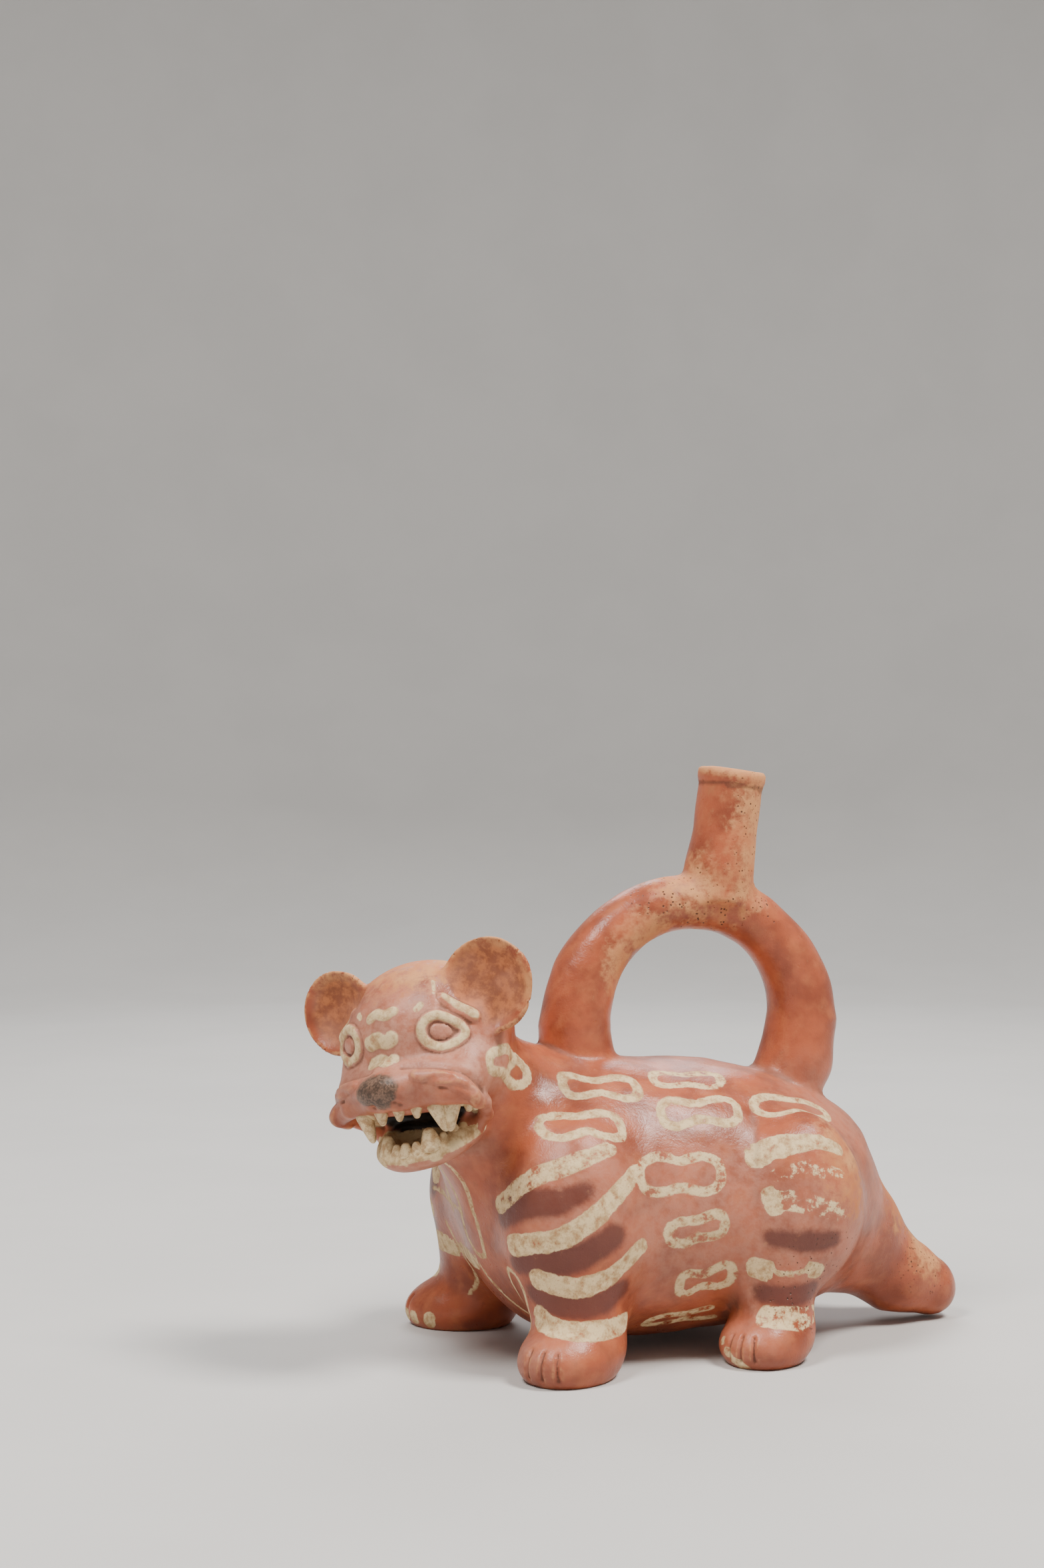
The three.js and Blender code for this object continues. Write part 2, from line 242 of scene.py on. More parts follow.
def turned_about(axis, angle):
    """A rotation matrix whose columns are the turned frame's own axes."""
    c, s = math.cos(angle), math.sin(angle)
    rows = {"X": ((1, 0, 0), (0, c, -s), (0, s, c)), "Z": ((c, -s, 0), (s, c, 0), (0, 0, 1))}
    return np.array(rows[axis])


HEAD_AXES = turned_about("Z", HEAD_TURN) @ turned_about("X", HEAD_ROLL)


def to_head(points):
    return (points - SKULL) @ HEAD_AXES


def from_head(points):
    return np.asarray(points, float) @ HEAD_AXES.T + SKULL


# ---- the modelled forms


def barrel():
    return joined(
        16,
        egg((-44, 0, MIDDLE + 1.5), (40, BODY_HALF_WIDTH - 2, HALF_HEIGHT)),
        egg((-8, 0, MIDDLE - 0.5), (57, BODY_HALF_WIDTH, HALF_HEIGHT)),
        egg((25, 0, MIDDLE - 2), (37, BODY_HALF_WIDTH - 4, HALF_HEIGHT - 8)),
    )


def tail():
    return chain([(x, 0, z, radius) for x, z, radius in TAIL], 6)


def paw_frame(leg):
    """The paw's middle and its axes: +X out of the toes, +Y across them."""
    turn = math.radians(180 + leg["splay"])
    middle = np.array([leg["foot"][0] + 7 * math.cos(turn), leg["foot"][1] + 7 * math.sin(turn), 6])
    return middle, turned_about("Z", turn)


def leg_lump(leg):
    (hip_x, hip_y), (foot_x, foot_y) = leg["hip"], leg["foot"]
    middle, axes = paw_frame(leg)
    paw = egg((0, 0, 0), leg["paw"])
    shape = joined(
        8,
        egg((hip_x + leg["rear"], hip_y, 51), leg["thigh"]),
        limb((hip_x, hip_y, 44), (foot_x + 1, foot_y, 12), *leg["shin"]),
        lambda points: paw((points - middle) @ axes),
    )
    return kept_near(shape, (hip_x - 60, hip_y - 60, -40), (hip_x + 70, hip_y + 60, 130))


def arch():
    """The stirrup: a round tube bent over the back, thinnest at its crown."""
    centre_x, centre_z = ARCH_CENTRE

    def bow(points):
        x, z = points[:, 0] - centre_x, points[:, 2] - centre_z
        lean = np.abs(np.arctan2(x, z)) / (math.pi / 2)
        radius = CROWN_RADIUS + (SPRING_RADIUS - CROWN_RADIUS) * np.minimum(lean, 1) ** 1.5
        ring = np.hypot(np.hypot(x, z) - ARCH_RADIUS, points[:, 1]) - radius
        return np.where(z >= 0, ring, FAR)

    def arm(path):
        radii = np.linspace(SPRING_RADIUS, FOOT_RADIUS, len(path))
        return chain([(x, 0, z, radius) for (x, z), radius in zip(path, radii)], 2)

    shape = joined(0.5, bow, arm(FRONT_ARM), arm(REAR_ARM))
    return kept_near(shape, *ARCH_SPACE)


def spout_frame(points):
    """Distance from the spout's axis and height along it."""
    x, z = points[:, 0] - SPOUT_BASE[0], points[:, 2] - SPOUT_BASE[1]
    height = x * math.sin(SPOUT_LEAN) + z * math.cos(SPOUT_LEAN)
    across = x * math.cos(SPOUT_LEAN) - z * math.sin(SPOUT_LEAN)
    return np.hypot(across, points[:, 1]), height


def spout():
    heights, radii = zip(*SPOUT_OUTLINE)

    def shape(points):
        out, height = spout_frame(points)
        wall = out - np.interp(height, heights, radii)
        ends = np.maximum(height - SPOUT_LENGTH, -height)
        return -soft_min(-wall, -ends, 1.6)

    return kept_near(shape, *SPOUT_SPACE)


def bore(radius):
    def shape(points):
        out, height = spout_frame(points)
        return np.maximum(out - radius, SPOUT_LENGTH - BORE_DEPTH - height)

    return kept_near(shape, *SPOUT_SPACE)


def tipped(lump):
    """The lump, which rises towards the back of the jaws."""

    def shape(points):
        rise = JAW_RISE * (JAW_PIVOT - points[:, 0])
        return lump(np.column_stack([points[:, 0], points[:, 1], points[:, 2] - rise]))

    return shape


def head_lump():
    """The head in its own frame: +X out of the snout, +Y to the animal's left, +Z up."""
    skull = egg((-2, 0, 0), (27, 29, 23))
    cheeks = mirrored(egg((5, 15, -13), (15, 14, 12)))
    muzzle = egg((16, 0, -15.5), (16.5, 25, 8))
    throat = egg((-3, 0, -20), (19, 21, 16))
    jaw = tipped(egg((8, 0, -38.8), (17.7, 18, 7.4)))
    pads = joined(2, egg((17.5, 16, -17.5), (8.5, 10.5, 5.8)), egg((16, -12, -17.5), (8, 9.5, 5.5)))
    nose = joined(3, egg((26, -1, -16), (7, 9, 5)), egg((30, -1.5, -17), (4.5, 9, 4)))
    lips = mirrored(chain(UPPER_LIP))
    face = joined(6, skull, cheeks, muzzle, throat, jaw, pads)
    mouth = joined(2, tipped(egg(*MOUTH)), tipped(egg(*MOUTH_FLOOR)))
    temples = mirrored(egg((14, 30, 17), (13.5, 15.5, 14.5)))
    open_face = carved(3, carved(1.5, joined(4, face, nose, lips), mouth), temples)
    ears = [ear(**sizes) for sizes in EARS]
    return joined(3, joined(1, open_face, gums()), *ears)


def gums():
    return mirrored(joined(1, chain(UPPER_GUM), tipped(chain(LOWER_GUM))))


def ear(at, radius, outward):
    """A dish that opens forward."""
    turn = math.radians(math.copysign(outward, at[1]))
    axes = turned_about("Z", turn)

    def shape(points):
        local = (points - at) @ axes
        out = np.hypot(local[:, 1], local[:, 2]) / radius
        deep = local[:, 0]
        back = -3.2 + 6.5 * np.minimum(out, 1.2) ** 3
        front = 0.6 + 4.6 * np.minimum(out, 1.2) ** 2.2
        slab = np.maximum(back - deep, deep - front) * 0.8
        return -soft_min(-slab, -(out - 1) * radius, 1.5)

    return shape


def head():
    shape = head_lump()
    return kept_near(lambda points: shape(to_head(points)), *HEAD_SPACE)


def clay(sizes):
    """The whole vessel as one lump."""
    neck = limb((-60, 0, 70), (SKULL[0] + 8, SKULL[1] + 3, SKULL[2] - 14), 29, 22)
    body = joined(14, barrel(), neck, tail())
    for leg in LEGS:
        body = joined(leg["soft"], body, leg_lump(leg))
    modelled = joined(3, joined(5, body, head()), joined(4, arch(), spout()))
    whole = carved(1.2, modelled, bore(sizes.bore_width / MM / 2))
    return lambda points: np.maximum(whole(points), -points[:, 2])


# ---- a skin over the lumps


def grid_lines(low, high, coarse, fine, fine_low, fine_high):
    """Places of grid lines from low to high, closer together between fine_low and fine_high."""
    lines = [low]
    while lines[-1] < high:
        lines.append(lines[-1] + (fine if fine_low <= lines[-1] < fine_high else coarse))
    return np.array(lines)


def sampled(lump, lines, block=6):
    """The lump's distance at each grid corner, exact only in the blocks near its surface."""
    starts = [np.arange(0, len(line), block) for line in lines]
    ends = [np.minimum(start + block, len(line) - 1) for start, line in zip(starts, lines)]
    middles = [(line[a] + line[b]) / 2 for line, a, b in zip(lines, starts, ends)]
    halves = [(line[b] - line[a]) / 2 for line, a, b in zip(lines, starts, ends)]
    centres = np.stack(np.meshgrid(*middles, indexing="ij"), axis=-1).reshape(-1, 3)
    reach = np.linalg.norm(np.stack(np.meshgrid(*halves, indexing="ij"), axis=-1), axis=-1)
    rough = lump(centres).reshape(reach.shape)
    value = rough
    close = np.abs(rough) < reach * 1.5 + 4
    for axis, line in enumerate(lines):
        value = np.repeat(value, block, axis=axis).take(range(len(line)), axis=axis)
        close = np.repeat(close, block, axis=axis).take(range(len(line)), axis=axis)
    corners = np.nonzero(close)
    points = np.column_stack([line[at] for line, at in zip(lines, corners)])
    chunks = [lump(part) for part in np.array_split(points, len(points) // 200000 + 1)]
    value[corners] = np.concatenate(chunks)
    return value


def skin(lump, lines):
    """Vertices and quads of a closed surface over the lump: one vertex in each grid cell that
    the surface crosses, and one quad for each crossed grid edge."""
    value = sampled(lump, lines)
    inside = value < 0
    shape = np.array(value.shape)
    strides = np.array([shape[1] * shape[2], shape[2], 1])
    cells, crossings, quads, outward = [], [], [], []
    for axis in range(3):
        near = np.moveaxis(inside, axis, 0)
        hits = np.array(np.nonzero(near[:-1] != near[1:]))
        order = [hits[1], hits[2]]
        order.insert(axis, hits[0])
        corner = np.stack(order, axis=1)
        step = np.eye(3, dtype=int)[axis]
        first, second = value[tuple(corner.T)], value[tuple((corner + step).T)]
        part = first / (first - second)
        points = np.column_stack([line[at] for line, at in zip(lines, corner.T)])
        following = lines[axis][corner[:, axis] + 1]
        points[:, axis] += part * (following - points[:, axis])
        u, v = np.eye(3, dtype=int)[(axis + 1) % 3], np.eye(3, dtype=int)[(axis + 2) % 3]
        ring = np.stack([(corner - back) @ strides for back in (u + v, v, 0 * u, u)], axis=1)
        ring[first >= 0] = ring[first >= 0][:, ::-1]
        cells.append(ring.ravel())
        crossings.append(np.repeat(points, 4, axis=0))
        quads.append(ring)
    used, place = np.unique(np.concatenate(cells), return_inverse=True)
    count = np.bincount(place)
    spots = np.concatenate(crossings)
    vertices = np.column_stack([np.bincount(place, spots[:, k]) / count for k in range(3)])
    return vertices, np.searchsorted(used, np.concatenate(quads))


def slope_of(lump, points, step=0.05):
    ahead = [lump(points + step * side) - lump(points - step * side) for side in np.eye(3)]
    return np.column_stack(ahead) / (2 * step)


def drawn_onto(lump, points, reach):
    """The points moved down the lump's slope onto its surface, by no more than reach."""
    moved = points.copy()
    for _ in range(3):
        slope = slope_of(lump, moved)
        steep = np.maximum((slope**2).sum(axis=1), 0.2)
        moved -= (lump(moved) / steep)[:, None] * slope
    far = np.linalg.norm(moved - points, axis=1) > reach
    moved[far] = points[far]
    return moved


def evened(vertices, quads, amount=0.5):
    """Each vertex moved part of the way to the middle of its neighbours."""
    ends = np.concatenate([quads, np.roll(quads, -1, axis=1)]).reshape(2, -1)
    both = np.concatenate([ends[0], ends[1]]), np.concatenate([ends[1], ends[0]])
    count = np.maximum(np.bincount(both[0], minlength=len(vertices)), 1)[:, None]
    total = [np.bincount(both[0], vertices[both[1], k], len(vertices)) for k in range(3)]
    return vertices + amount * (np.column_stack(total) / count - vertices)


def split(vertices, quads, chosen):
    """The chosen quads cut in four. A neighbour that shares a cut edge gains its new corner, and
    is given back apart from the quads, as a longer ring."""
    sides = np.sort(np.stack([quads, np.roll(quads, -1, axis=1)], axis=-1).reshape(-1, 2), axis=1)
    edges, edge_of = np.unique(sides, axis=0, return_inverse=True)
    edge_of = edge_of.reshape(-1, 4)
    cut = np.zeros(len(edges), bool)
    cut[edge_of[chosen].ravel()] = True
    middle_of = np.full(len(edges), -1)
    middle_of[cut] = len(vertices) + np.arange(cut.sum())
    centres = len(vertices) + cut.sum() + np.arange(chosen.sum())
    added = [vertices[edges[cut]].mean(axis=1), vertices[quads[chosen]].mean(axis=1)]
    corners, middles = quads[chosen], middle_of[edge_of[chosen]]
    quarters = [
        np.stack([corners[:, k], middles[:, k], centres, middles[:, k - 1]], axis=1) for k in range(4)
    ]
    touched = ~chosen & (middle_of[edge_of] >= 0).any(axis=1)
    rings = [
        [each for pair in zip(ring, middles) for each in pair if each >= 0]
        for ring, middles in zip(quads[touched].tolist(), middle_of[edge_of[touched]].tolist())
    ]
    whole = quads[~chosen & ~touched]
    return np.concatenate([vertices, *added]), np.concatenate([whole, *quarters]), rings


def added(name, data):
    """A new object in the scene that holds the data."""
    thing = bpy.data.objects.new(name, data)
    bpy.context.scene.collection.objects.link(thing)
    return thing


def closed_mesh(name, vertices, quads, rings, attributes):
    """A smooth mesh in the vessel's frame, with a float attribute for each named measure."""
    mesh = bpy.data.meshes.new(name)
    mesh.from_pydata(((vertices + TO_FRAME) * MM).tolist(), [], quads.tolist() + rings)
    mesh.shade_smooth()
    for label, measure in attributes.items():
        layer = mesh.attributes.new(label, "FLOAT", "POINT")
        layer.data.foreach_set("value", measure.astype(np.float32))
    return added(name, mesh)


# ---- places on the clay

# A chart turns pairs of measures into rays that meet the clay from outside: the point each starts
# from and the point it makes for.

HEAD_MIDDLE = np.array([0, 0, -8])
OUTSIDE = 60  # millimetres from the middle of the head or a leg to where its rays start
OUTSIDE_BODY = 75


def round_head(side):
    """Degrees from the snout round to one side, 1 for the animal's left, and above it."""

    def chart(azimuth, elevation):
        a, e = np.radians(side * azimuth), np.radians(elevation)
        way = np.column_stack([np.cos(e) * np.cos(a), np.cos(e) * np.sin(a), np.sin(e)])
        return from_head(HEAD_MIDDLE + OUTSIDE * way), from_head(HEAD_MIDDLE + 0 * way)

    return chart


def round_body(side):
    """Millimetres along the body, and degrees above the middle of one flank."""

    def chart(x, angle):
        a = np.radians(angle)
        way = np.column_stack([0 * x, side * np.cos(a), np.sin(a)])
        axis = np.column_stack([x, 0 * x, 0 * x + MIDDLE])
        return axis + OUTSIDE_BODY * way, axis

    return chart


def round_leg(leg):
    """Degrees round a leg, from its front to its outer side, and height."""
    side = math.copysign(1, leg["hip"][1])
    x, y = leg["hip"][0] + leg["rear"] / 2, leg["hip"][1] - 2 * side

    def chart(angle, height):
        a = np.radians(angle)
        way = np.column_stack([-np.cos(a), side * np.sin(a), 0 * a])
        axis = np.column_stack([0 * a + x, 0 * a + y, height])
        return axis + OUTSIDE * way, axis

    return chart


def on_chest(y, z):
    """Place across the chest and height, seen from the front."""
    return np.column_stack([0 * y - 110, y, z]), np.column_stack([0 * y - 40, y, z])


def met(lump, starts, ends):
    """Where each ray from a start towards its end first meets the lump."""
    way = ends - starts
    length = np.linalg.norm(way, axis=1)
    way /= length[:, None]
    gone = np.zeros(len(starts))
    for _ in range(60):
        gone += np.clip(lump(starts + gone[:, None] * way) * 0.7, -2, 10)
    return starts + np.minimum(gone, length)[:, None] * way


def smooth_path(points, closed=False, steps=12):
    """A smooth curve through the points, with a number of steps between each two."""
    points = np.array(points, float)
    if len(points) == 1:
        return points
    if closed:
        ring = np.concatenate([points[-1:], points, points[:2]])
    else:
        ring = np.concatenate([2 * points[:1] - points[1:2], points, 2 * points[-1:] - points[-2:-1]])
    t = np.arange(steps)[:, None] / steps
    spans = [
        b + t * (c - a) / 2 + t**2 * (a - 2.5 * b + 2 * c - d / 2) + t**3 * (1.5 * (b - c) + (d - a) / 2)
        for a, b, c, d in zip(ring, ring[1:], ring[2:], ring[3:])
    ]
    return np.concatenate(spans + ([] if closed else [points[-1:]]))


FARTHEST = 9.0  # how far from a stroke its measure still counts up


class Strokes:
    """Strokes laid on the clay, each with a half width and a strength."""

    def __init__(self):
        self.rays, self.widths, self.strengths = [], [], []

    def lay(self, chart, path, width, strength=1.0, closed=False):
        path = smooth_path(path, closed)
        along = np.linspace(0, 1, len(path))
        self.rays.append(np.stack(chart(path[:, 0], path[:, 1])))
        self.widths.append(np.interp(along, np.linspace(0, 1, np.size(width)), np.atleast_1d(width)))
        self.strengths.append(np.full(len(path), strength))

    def lay_each(self, chart, strokes):
        """Lays strokes that are given as a path, a half width and a strength."""
        for stroke in strokes:
            self.lay(chart, *stroke)

    def nearest(self, lump, vertices):
        """For each vertex: how far it is outside the nearest stroke, as a distance and as a share
        of the half width, and that stroke's strength."""
        points = met(lump, *np.concatenate(self.rays, axis=1))
        widths, strengths = np.concatenate(self.widths), np.concatenate(self.strengths)
        tree = KDTree(len(points))
        for n, point in enumerate(points):
            tree.insert(point, n)
        tree.balance()
        found = [tree.find(vertex) for vertex in vertices.tolist()]
        index = np.array([n for _, n, _ in found])
        distance = np.array([d for _, _, d in found])
        outside = np.clip(distance - widths[index], -FARTHEST, FARTHEST)
        return outside, distance / widths[index], strengths[index]


# ---- relief and paint

MM_PER_DEGREE = 0.82  # round the flank
MM_PER_HEAD_DEGREE = 0.48

EYE = {"azimuth": 41.5, "elevation": 15.0, "length": 13.0, "height": 10.4}
BROW = ((50, 38), (56, 33.5), (62, 27.5), (67, 21))
UNDER_BROW = ((46, 31), (52, 28.5), (58, 23.5), (62.5, 17))
WHISKER_CREASE = ((12, -4), (23, -5), (36, -7), (45, -11), (52, -15), (61, -24))
MUZZLE_FOLD = ((22, -9), (33, -11), (43, -15), (50, -21), (56, -30))
HEAD_RAISED = (  # on both sides of the head: path, half width, height
    (((40.5, 15), (43, 15)), 3.1, 0.9),
    (BROW, (2.4, 3, 2.4), 1.5),
    (MUZZLE_FOLD, (2.2, 3.2, 2.6), 1.0),
)
HEAD_SUNK = (
    (UNDER_BROW, 1.5, 0.8),
    (WHISKER_CREASE, (1.2, 1.7, 1.2), 0.8),
    (((27, -13), (34, -12), (41, -13)), 0.8, 0.45),
    (((34, -17), (42, -17), (50, -21)), 0.8, 0.45),
    (((7, -22), (9, -24)), 1.5, 1.3),
)
WAIST_CREASE = (((8, 45), (6, 31), (3, 11), (2, -13), (3, -29)), 1.6, 0.5)
EYE_RIM = (1.9, 1.15)  # half width and height
CHEEK_RIM = (1.5, 0.35)
BAR_HEIGHT = 0.55
TOE_CUT = ((0.4, 0.75), 1.1)  # half widths and depth
EYE_LINE = 1.45  # half widths of the painted rings
CHEEK_LINE = 1.75
FLANK_LINE = 1.65
CHEST_LINE = 0.95
UNWORN = 0.95  # how whole well kept paint is
FAR_SIDE = 0.85  # how whole paint on the hidden side is beside the near side's
HAND_WAVES = (  # direction, wave length and height
    ((1, 0.3, 0.5), 41, 0.2),
    ((0.2, 1, -0.4), 33, 0.17),
    ((-0.5, 0.4, 1), 27, 0.17),
    ((0.7, -0.6, 0.2), 17, 0.1),
    ((0.3, 0.8, 0.9), 12, 0.06),
)
BRIDGE_BARS = (  # each a wavy bar across the bridge of the nose, with its half width
    (((-14, 31.5), (-8, 34), (0, 32), (8, 34)), 1.7),
    (((-16, 15), (-7, 17), (0, 15), (5, 16.5)), 2.5),
    (((-15, 0.5), (-7, 2), (-1, -0.5), (4, 1)), 2.2),
)
CHEEK_RING = (
    (73, -5), (69, -9), (71, -15), (86, -19), (97, -24), (105, -28),
    (111, -26), (116, -19), (113, -12), (104, -9), (95, -5), (84, -4),
)  # fmt: skip
HEAD_PAINTED = (  # on both sides of the head: path, half width, how whole the paint is
    (BROW, (1.5, 1.9, 1.5), 0.95),
    (((46, 51), (43, 42)), 0.6, 0.6),
    (((27, 33), (30, 35)), 1.2, 0.6),
    (((107, -14), (97, -19)), 1.9, 0.9),
)

# Rings on the flank: x, degrees, length, height, slant in degrees, and how whole the paint is.
FLANK_RINGS = (
    (-44.5, 57.5, 26, 11, -2.5, 0.95),
    (-11, 63.5, 25, 10.5, 1, 0.7),
    (25, 47.5, 30, 12, 2, 0.8),
    (-55, 38, 27, 11, -3, 0.85),
    (-12, 43.5, 28, 12, 1.5, 0.95),
    (-23, 17, 29, 14, 0, 0.66),
    (-18, -5, 20, 9, 3, 0.72),
    (-13, -28, 18, 10, 4, 0.68),
    (-15, -51, 26, 8, 8, 0.7),
)
# Bands round the legs: degrees and height at each point, and the half width along the band.
FRONT_BANDS = (
    (((-5, 55), (32, 65), (62, 69), (93, 72), (123, 74)), (3.2, 3.2, 2.4), 0.75),
    (((14, 43), (41, 45), (64, 47), (90, 53), (116, 60), (140, 66)), (3.6, 3.6, 2.8), 0.95),
    (((40, 33), (55, 32), (76, 31), (100, 32.5), (118, 36), (138, 42)), (3.6, 3.4, 2.8), 0.95),
    (((36, 20.5), (48, 18.5), (70, 17), (100, 17), (138, 17.5)), (3.6, 3.4, 3), 0.9),
)
FRONT_DARKS = (
    (((2, 52), (30, 57), (60, 58.5), (85, 62)), (4.6, 5.2, 4.6, 3), 1.0),
    (((14, 37), (45, 39), (75, 40), (110, 47)), (3.6, 5, 4.4), 1.0),
    (((30, 28), (60, 25), (100, 25.5), (125, 29)), (3.6, 4.6, 3.6), 1.0),
)
HIND_DARKS = (
    (((45, 24), (80, 23), (110, 24)), (3, 4, 3), 1.0),
    (((58, 42.5), (95, 41), (122, 41)), (3, 4, 3), 1.0),
)
HIND_BANDS = (
    (((40, 69), (58, 71.5), (90, 73), (120, 73), (140, 70)), (4.6, 4.4, 2.8, 2.2), 0.85),
    (((62, 63), (100, 65), (130, 62)), (2.2, 3, 2.4), 0.3),
    (((57, 56), (61, 53)), (3.4, 3.4), 0.85),
    (((74, 55), (100, 53), (126, 50)), (3.6, 3), 0.34),
    (((43, 32.5), (54, 31.5)), (3.8, 3.6), 0.95),
    (((62, 31), (80, 30.5), (94, 31)), (1.0, 0.9), 0.75),
    (((99, 31.5), (112, 30.5)), (2.8, 2.8), 0.9),
    (((54, 16.5), (72, 16), (88, 15.5)), (4, 4), 0.66),
    (((88, 15.5), (114, 16)), (3.4, 3), 0.4),
)
LEG_PAINT = ((FRONT_BANDS, FRONT_DARKS),) * 2 + ((HIND_BANDS, HIND_DARKS),) * 2
FAR_LEG_PATCHES = (
    (((-64, 31), (-35, 31), (-5, 31.5), (20, 32)), (3.8, 3.8), 0.95),
    (((-58, 49), (-30, 50.5), (0, 51)), (1.0, 1.0), 0.8),
)
CHEST_RINGS = ((-9, 51, 13, 33, 0.85), (-30, 21, 13, 25, 0.85))  # y, z, width, height, wholeness
CHEST_LINES = (
    (((-3, 33), (-10, 21), (-19, 14.5), (-27, 11)), (0.9, 1.0), 0.85),
    (((14, 62), (9, 54), (7, 48)), (2.0, 1.8), 0.9),
    (((24, 40), (20, 26), (27, 14)), (0.9, 0.9), 0.7),
)
FAR_CLAWS = ((34, 2.4), (40, 2.0), (46, 1.8))  # y and half width

# Patches of wear and haze, each the middle and half sizes of an egg that takes it in.
FACE_FILM = (((18, 2, -4), (20, 30, 20)), ((10, 26, -16), (14, 8, 14)), ((14, 0, -38), (20, 22, 9)))
BODY_FILM = (
    ((-15, -50, 48), (30, 16, 30)),
    ((-62, -52, 62), (24, 14, 20)),
    ((24, -50, 45), (22, 14, 22)),
    ((-66, 52, 58), (24, 14, 24)),
    ((2, -44, 50), (4, 16, 34)),
    ((-68, -46, 8), (13, 12, 7)),
    ((3, -46, 8), (11, 11, 7)),
    ((40, -14, 66), (24, 22, 26)),
    ((-85, 8, 72), (16, 26, 20)),
)
FAINTER = 0.56  # the body's film beside the face's
HEAD_BARE = (
    ((-2, 2, 24), (30, 28, 15)),
    ((0, 30, 27), (8, 16, 8)),
    ((0, -30, 24), (8, 16, 10)),
    ((5, 40, 10), (6, 7, 9)),
)
BODY_BARE = (
    ((6, -3, 156), (24, 14, 12)),
    ((-20, -8, 141), (12, 7, 8)),
    ((-31, -8, 129), (7, 7, 12)),
    ((33, -44, 62), (12, 12, 18)),
    ((66, -8, 44), (16, 10, 16)),
    ((84, -6, 24), (12, 10, 12)),
)
PITTED = (((4, -6, 152), (30, 16, 12)), ((84, -6, 24), (18, 12, 14)), ((26, -46, 26), (20, 14, 18)))
NOSE_PAD = ((33.5, -1.6, -16.4), (6.5, 7.2, 4.7))


def almond():
    """The outline of an eye, pointed at its outer corner."""
    t = np.linspace(0, 2 * math.pi, 16, endpoint=False)
    out = np.cos(t) * (1 + 0.22 * (np.cos(t) > 0) * np.cos(t) ** 2)
    up = np.sin(t) * (1 - 0.25 * np.maximum(np.cos(t), 0))
    azimuth = EYE["azimuth"] + out * EYE["length"] / 2 / MM_PER_HEAD_DEGREE
    elevation = EYE["elevation"] + up * EYE["height"] / 2 / MM_PER_HEAD_DEGREE - 2 * out
    return np.column_stack([azimuth, elevation])


def pinched_ring(length, height, slant, sway):
    """A closed ring with a narrow waist, about the origin; sway sets its uneven hand."""
    t = np.linspace(0, 2 * math.pi, 20, endpoint=False)
    along = np.cos(t) * length / 2
    waist = 1 - 0.42 * np.exp(-((along / (0.2 * length)) ** 2))
    up = np.sign(np.sin(t)) * np.abs(np.sin(t)) ** 0.6 * waist * height / 2
    up += 0.45 * np.sin(3 * t + sway) + slant * along / length
    return along + 0.4 * np.cos(2 * t + sway), up


def finely_worked(vertices, quads):
    """Which quads lie where the finest modelling is: the face, the ears' edges and the toes."""
    middles = vertices[quads].mean(axis=1)
    head = to_head(middles)
    face = within(head, *FACE_SPACE)
    for sizes in EARS:
        out = np.linalg.norm((head - sizes["at"])[:, 1:], axis=1)
        face |= (np.abs(out - sizes["radius"]) < 2) & (np.abs(head[:, 0]) < 12)
    toes = np.zeros(len(quads), bool)
    for leg in LEGS:
        middle, axes = paw_frame(leg)
        paw = (middles - middle) @ axes
        length, width, height = leg["paw"]
        toes |= (paw[:, 0] > 0.2 * length) & (np.abs(paw[:, 1]) < width + 2) & (middles[:, 2] < 17)
    return face | toes


def uneven(points):
    """The slight swelling and sinking that hands leave in clay, in millimetres."""
    rise = np.zeros(len(points))
    for way, length, height in HAND_WAVES:
        way = np.array(way) / np.linalg.norm(way)
        bend = np.sin(points @ way[[1, 2, 0]] * 4 / length)
        rise += height * np.sin(points @ way * 2 * math.pi / length + 1.5 * bend)
    return rise


def worked(lump, vertices, raised, sunk):
    """The vertices moved out along raised strokes and in along sunk ones, and their normals."""
    _, share, height = raised.nearest(lump, vertices)
    rise = height * np.sqrt(np.clip(1 - share**2, 0, 1)) + uneven(vertices)
    _, share, depth = sunk.nearest(lump, vertices)
    rise = rise - depth * np.exp(-(share**2))
    rise[vertices[:, 2] < 0.02] = 0
    normals = slope_of(lump, vertices)
    normals /= np.linalg.norm(normals, axis=1)[:, None] + 1e-9
    moved = vertices + rise[:, None] * normals
    moved[:, 2] = np.maximum(moved[:, 2], 0)
    return moved, normals


def hollowness(vertices, normals, quads):
    """How far each place lies below its surroundings, or above them where it is negative, as a
    share of the distance between vertices."""
    around = vertices
    for _ in range(3):
        around = evened(around, quads, 1.0)
    gap = np.linalg.norm(vertices[quads] - vertices[np.roll(quads, -1, axis=1)], axis=2)
    total = np.bincount(quads.ravel(), gap.ravel(), len(vertices))
    count = np.maximum(np.bincount(quads.ravel(), minlength=len(vertices)), 1)
    below = ((around - vertices) * normals).sum(axis=1) / np.maximum(total / count, 0.2)
    return evened(np.column_stack([below, below, below]), quads, 0.6)[:, 0]


def modelled_strokes():
    """Raised and sunk lines of the modelling tool, each laid with its height."""
    raised, sunk = Strokes(), Strokes()
    for side in (1, -1):
        raised.lay(round_head(side), almond(), *EYE_RIM, closed=True)
        raised.lay(round_head(side), CHEEK_RING, *CHEEK_RIM, closed=True)
        raised.lay_each(round_head(side), HEAD_RAISED)
        sunk.lay_each(round_head(side), HEAD_SUNK)
        sunk.lay(round_body(-side), *WAIST_CREASE)
    raised.lay_each(round_head(1), [(*bar, BAR_HEIGHT) for bar in BRIDGE_BARS])
    for leg in LEGS:
        toe_lines(sunk, leg)
    return raised, sunk


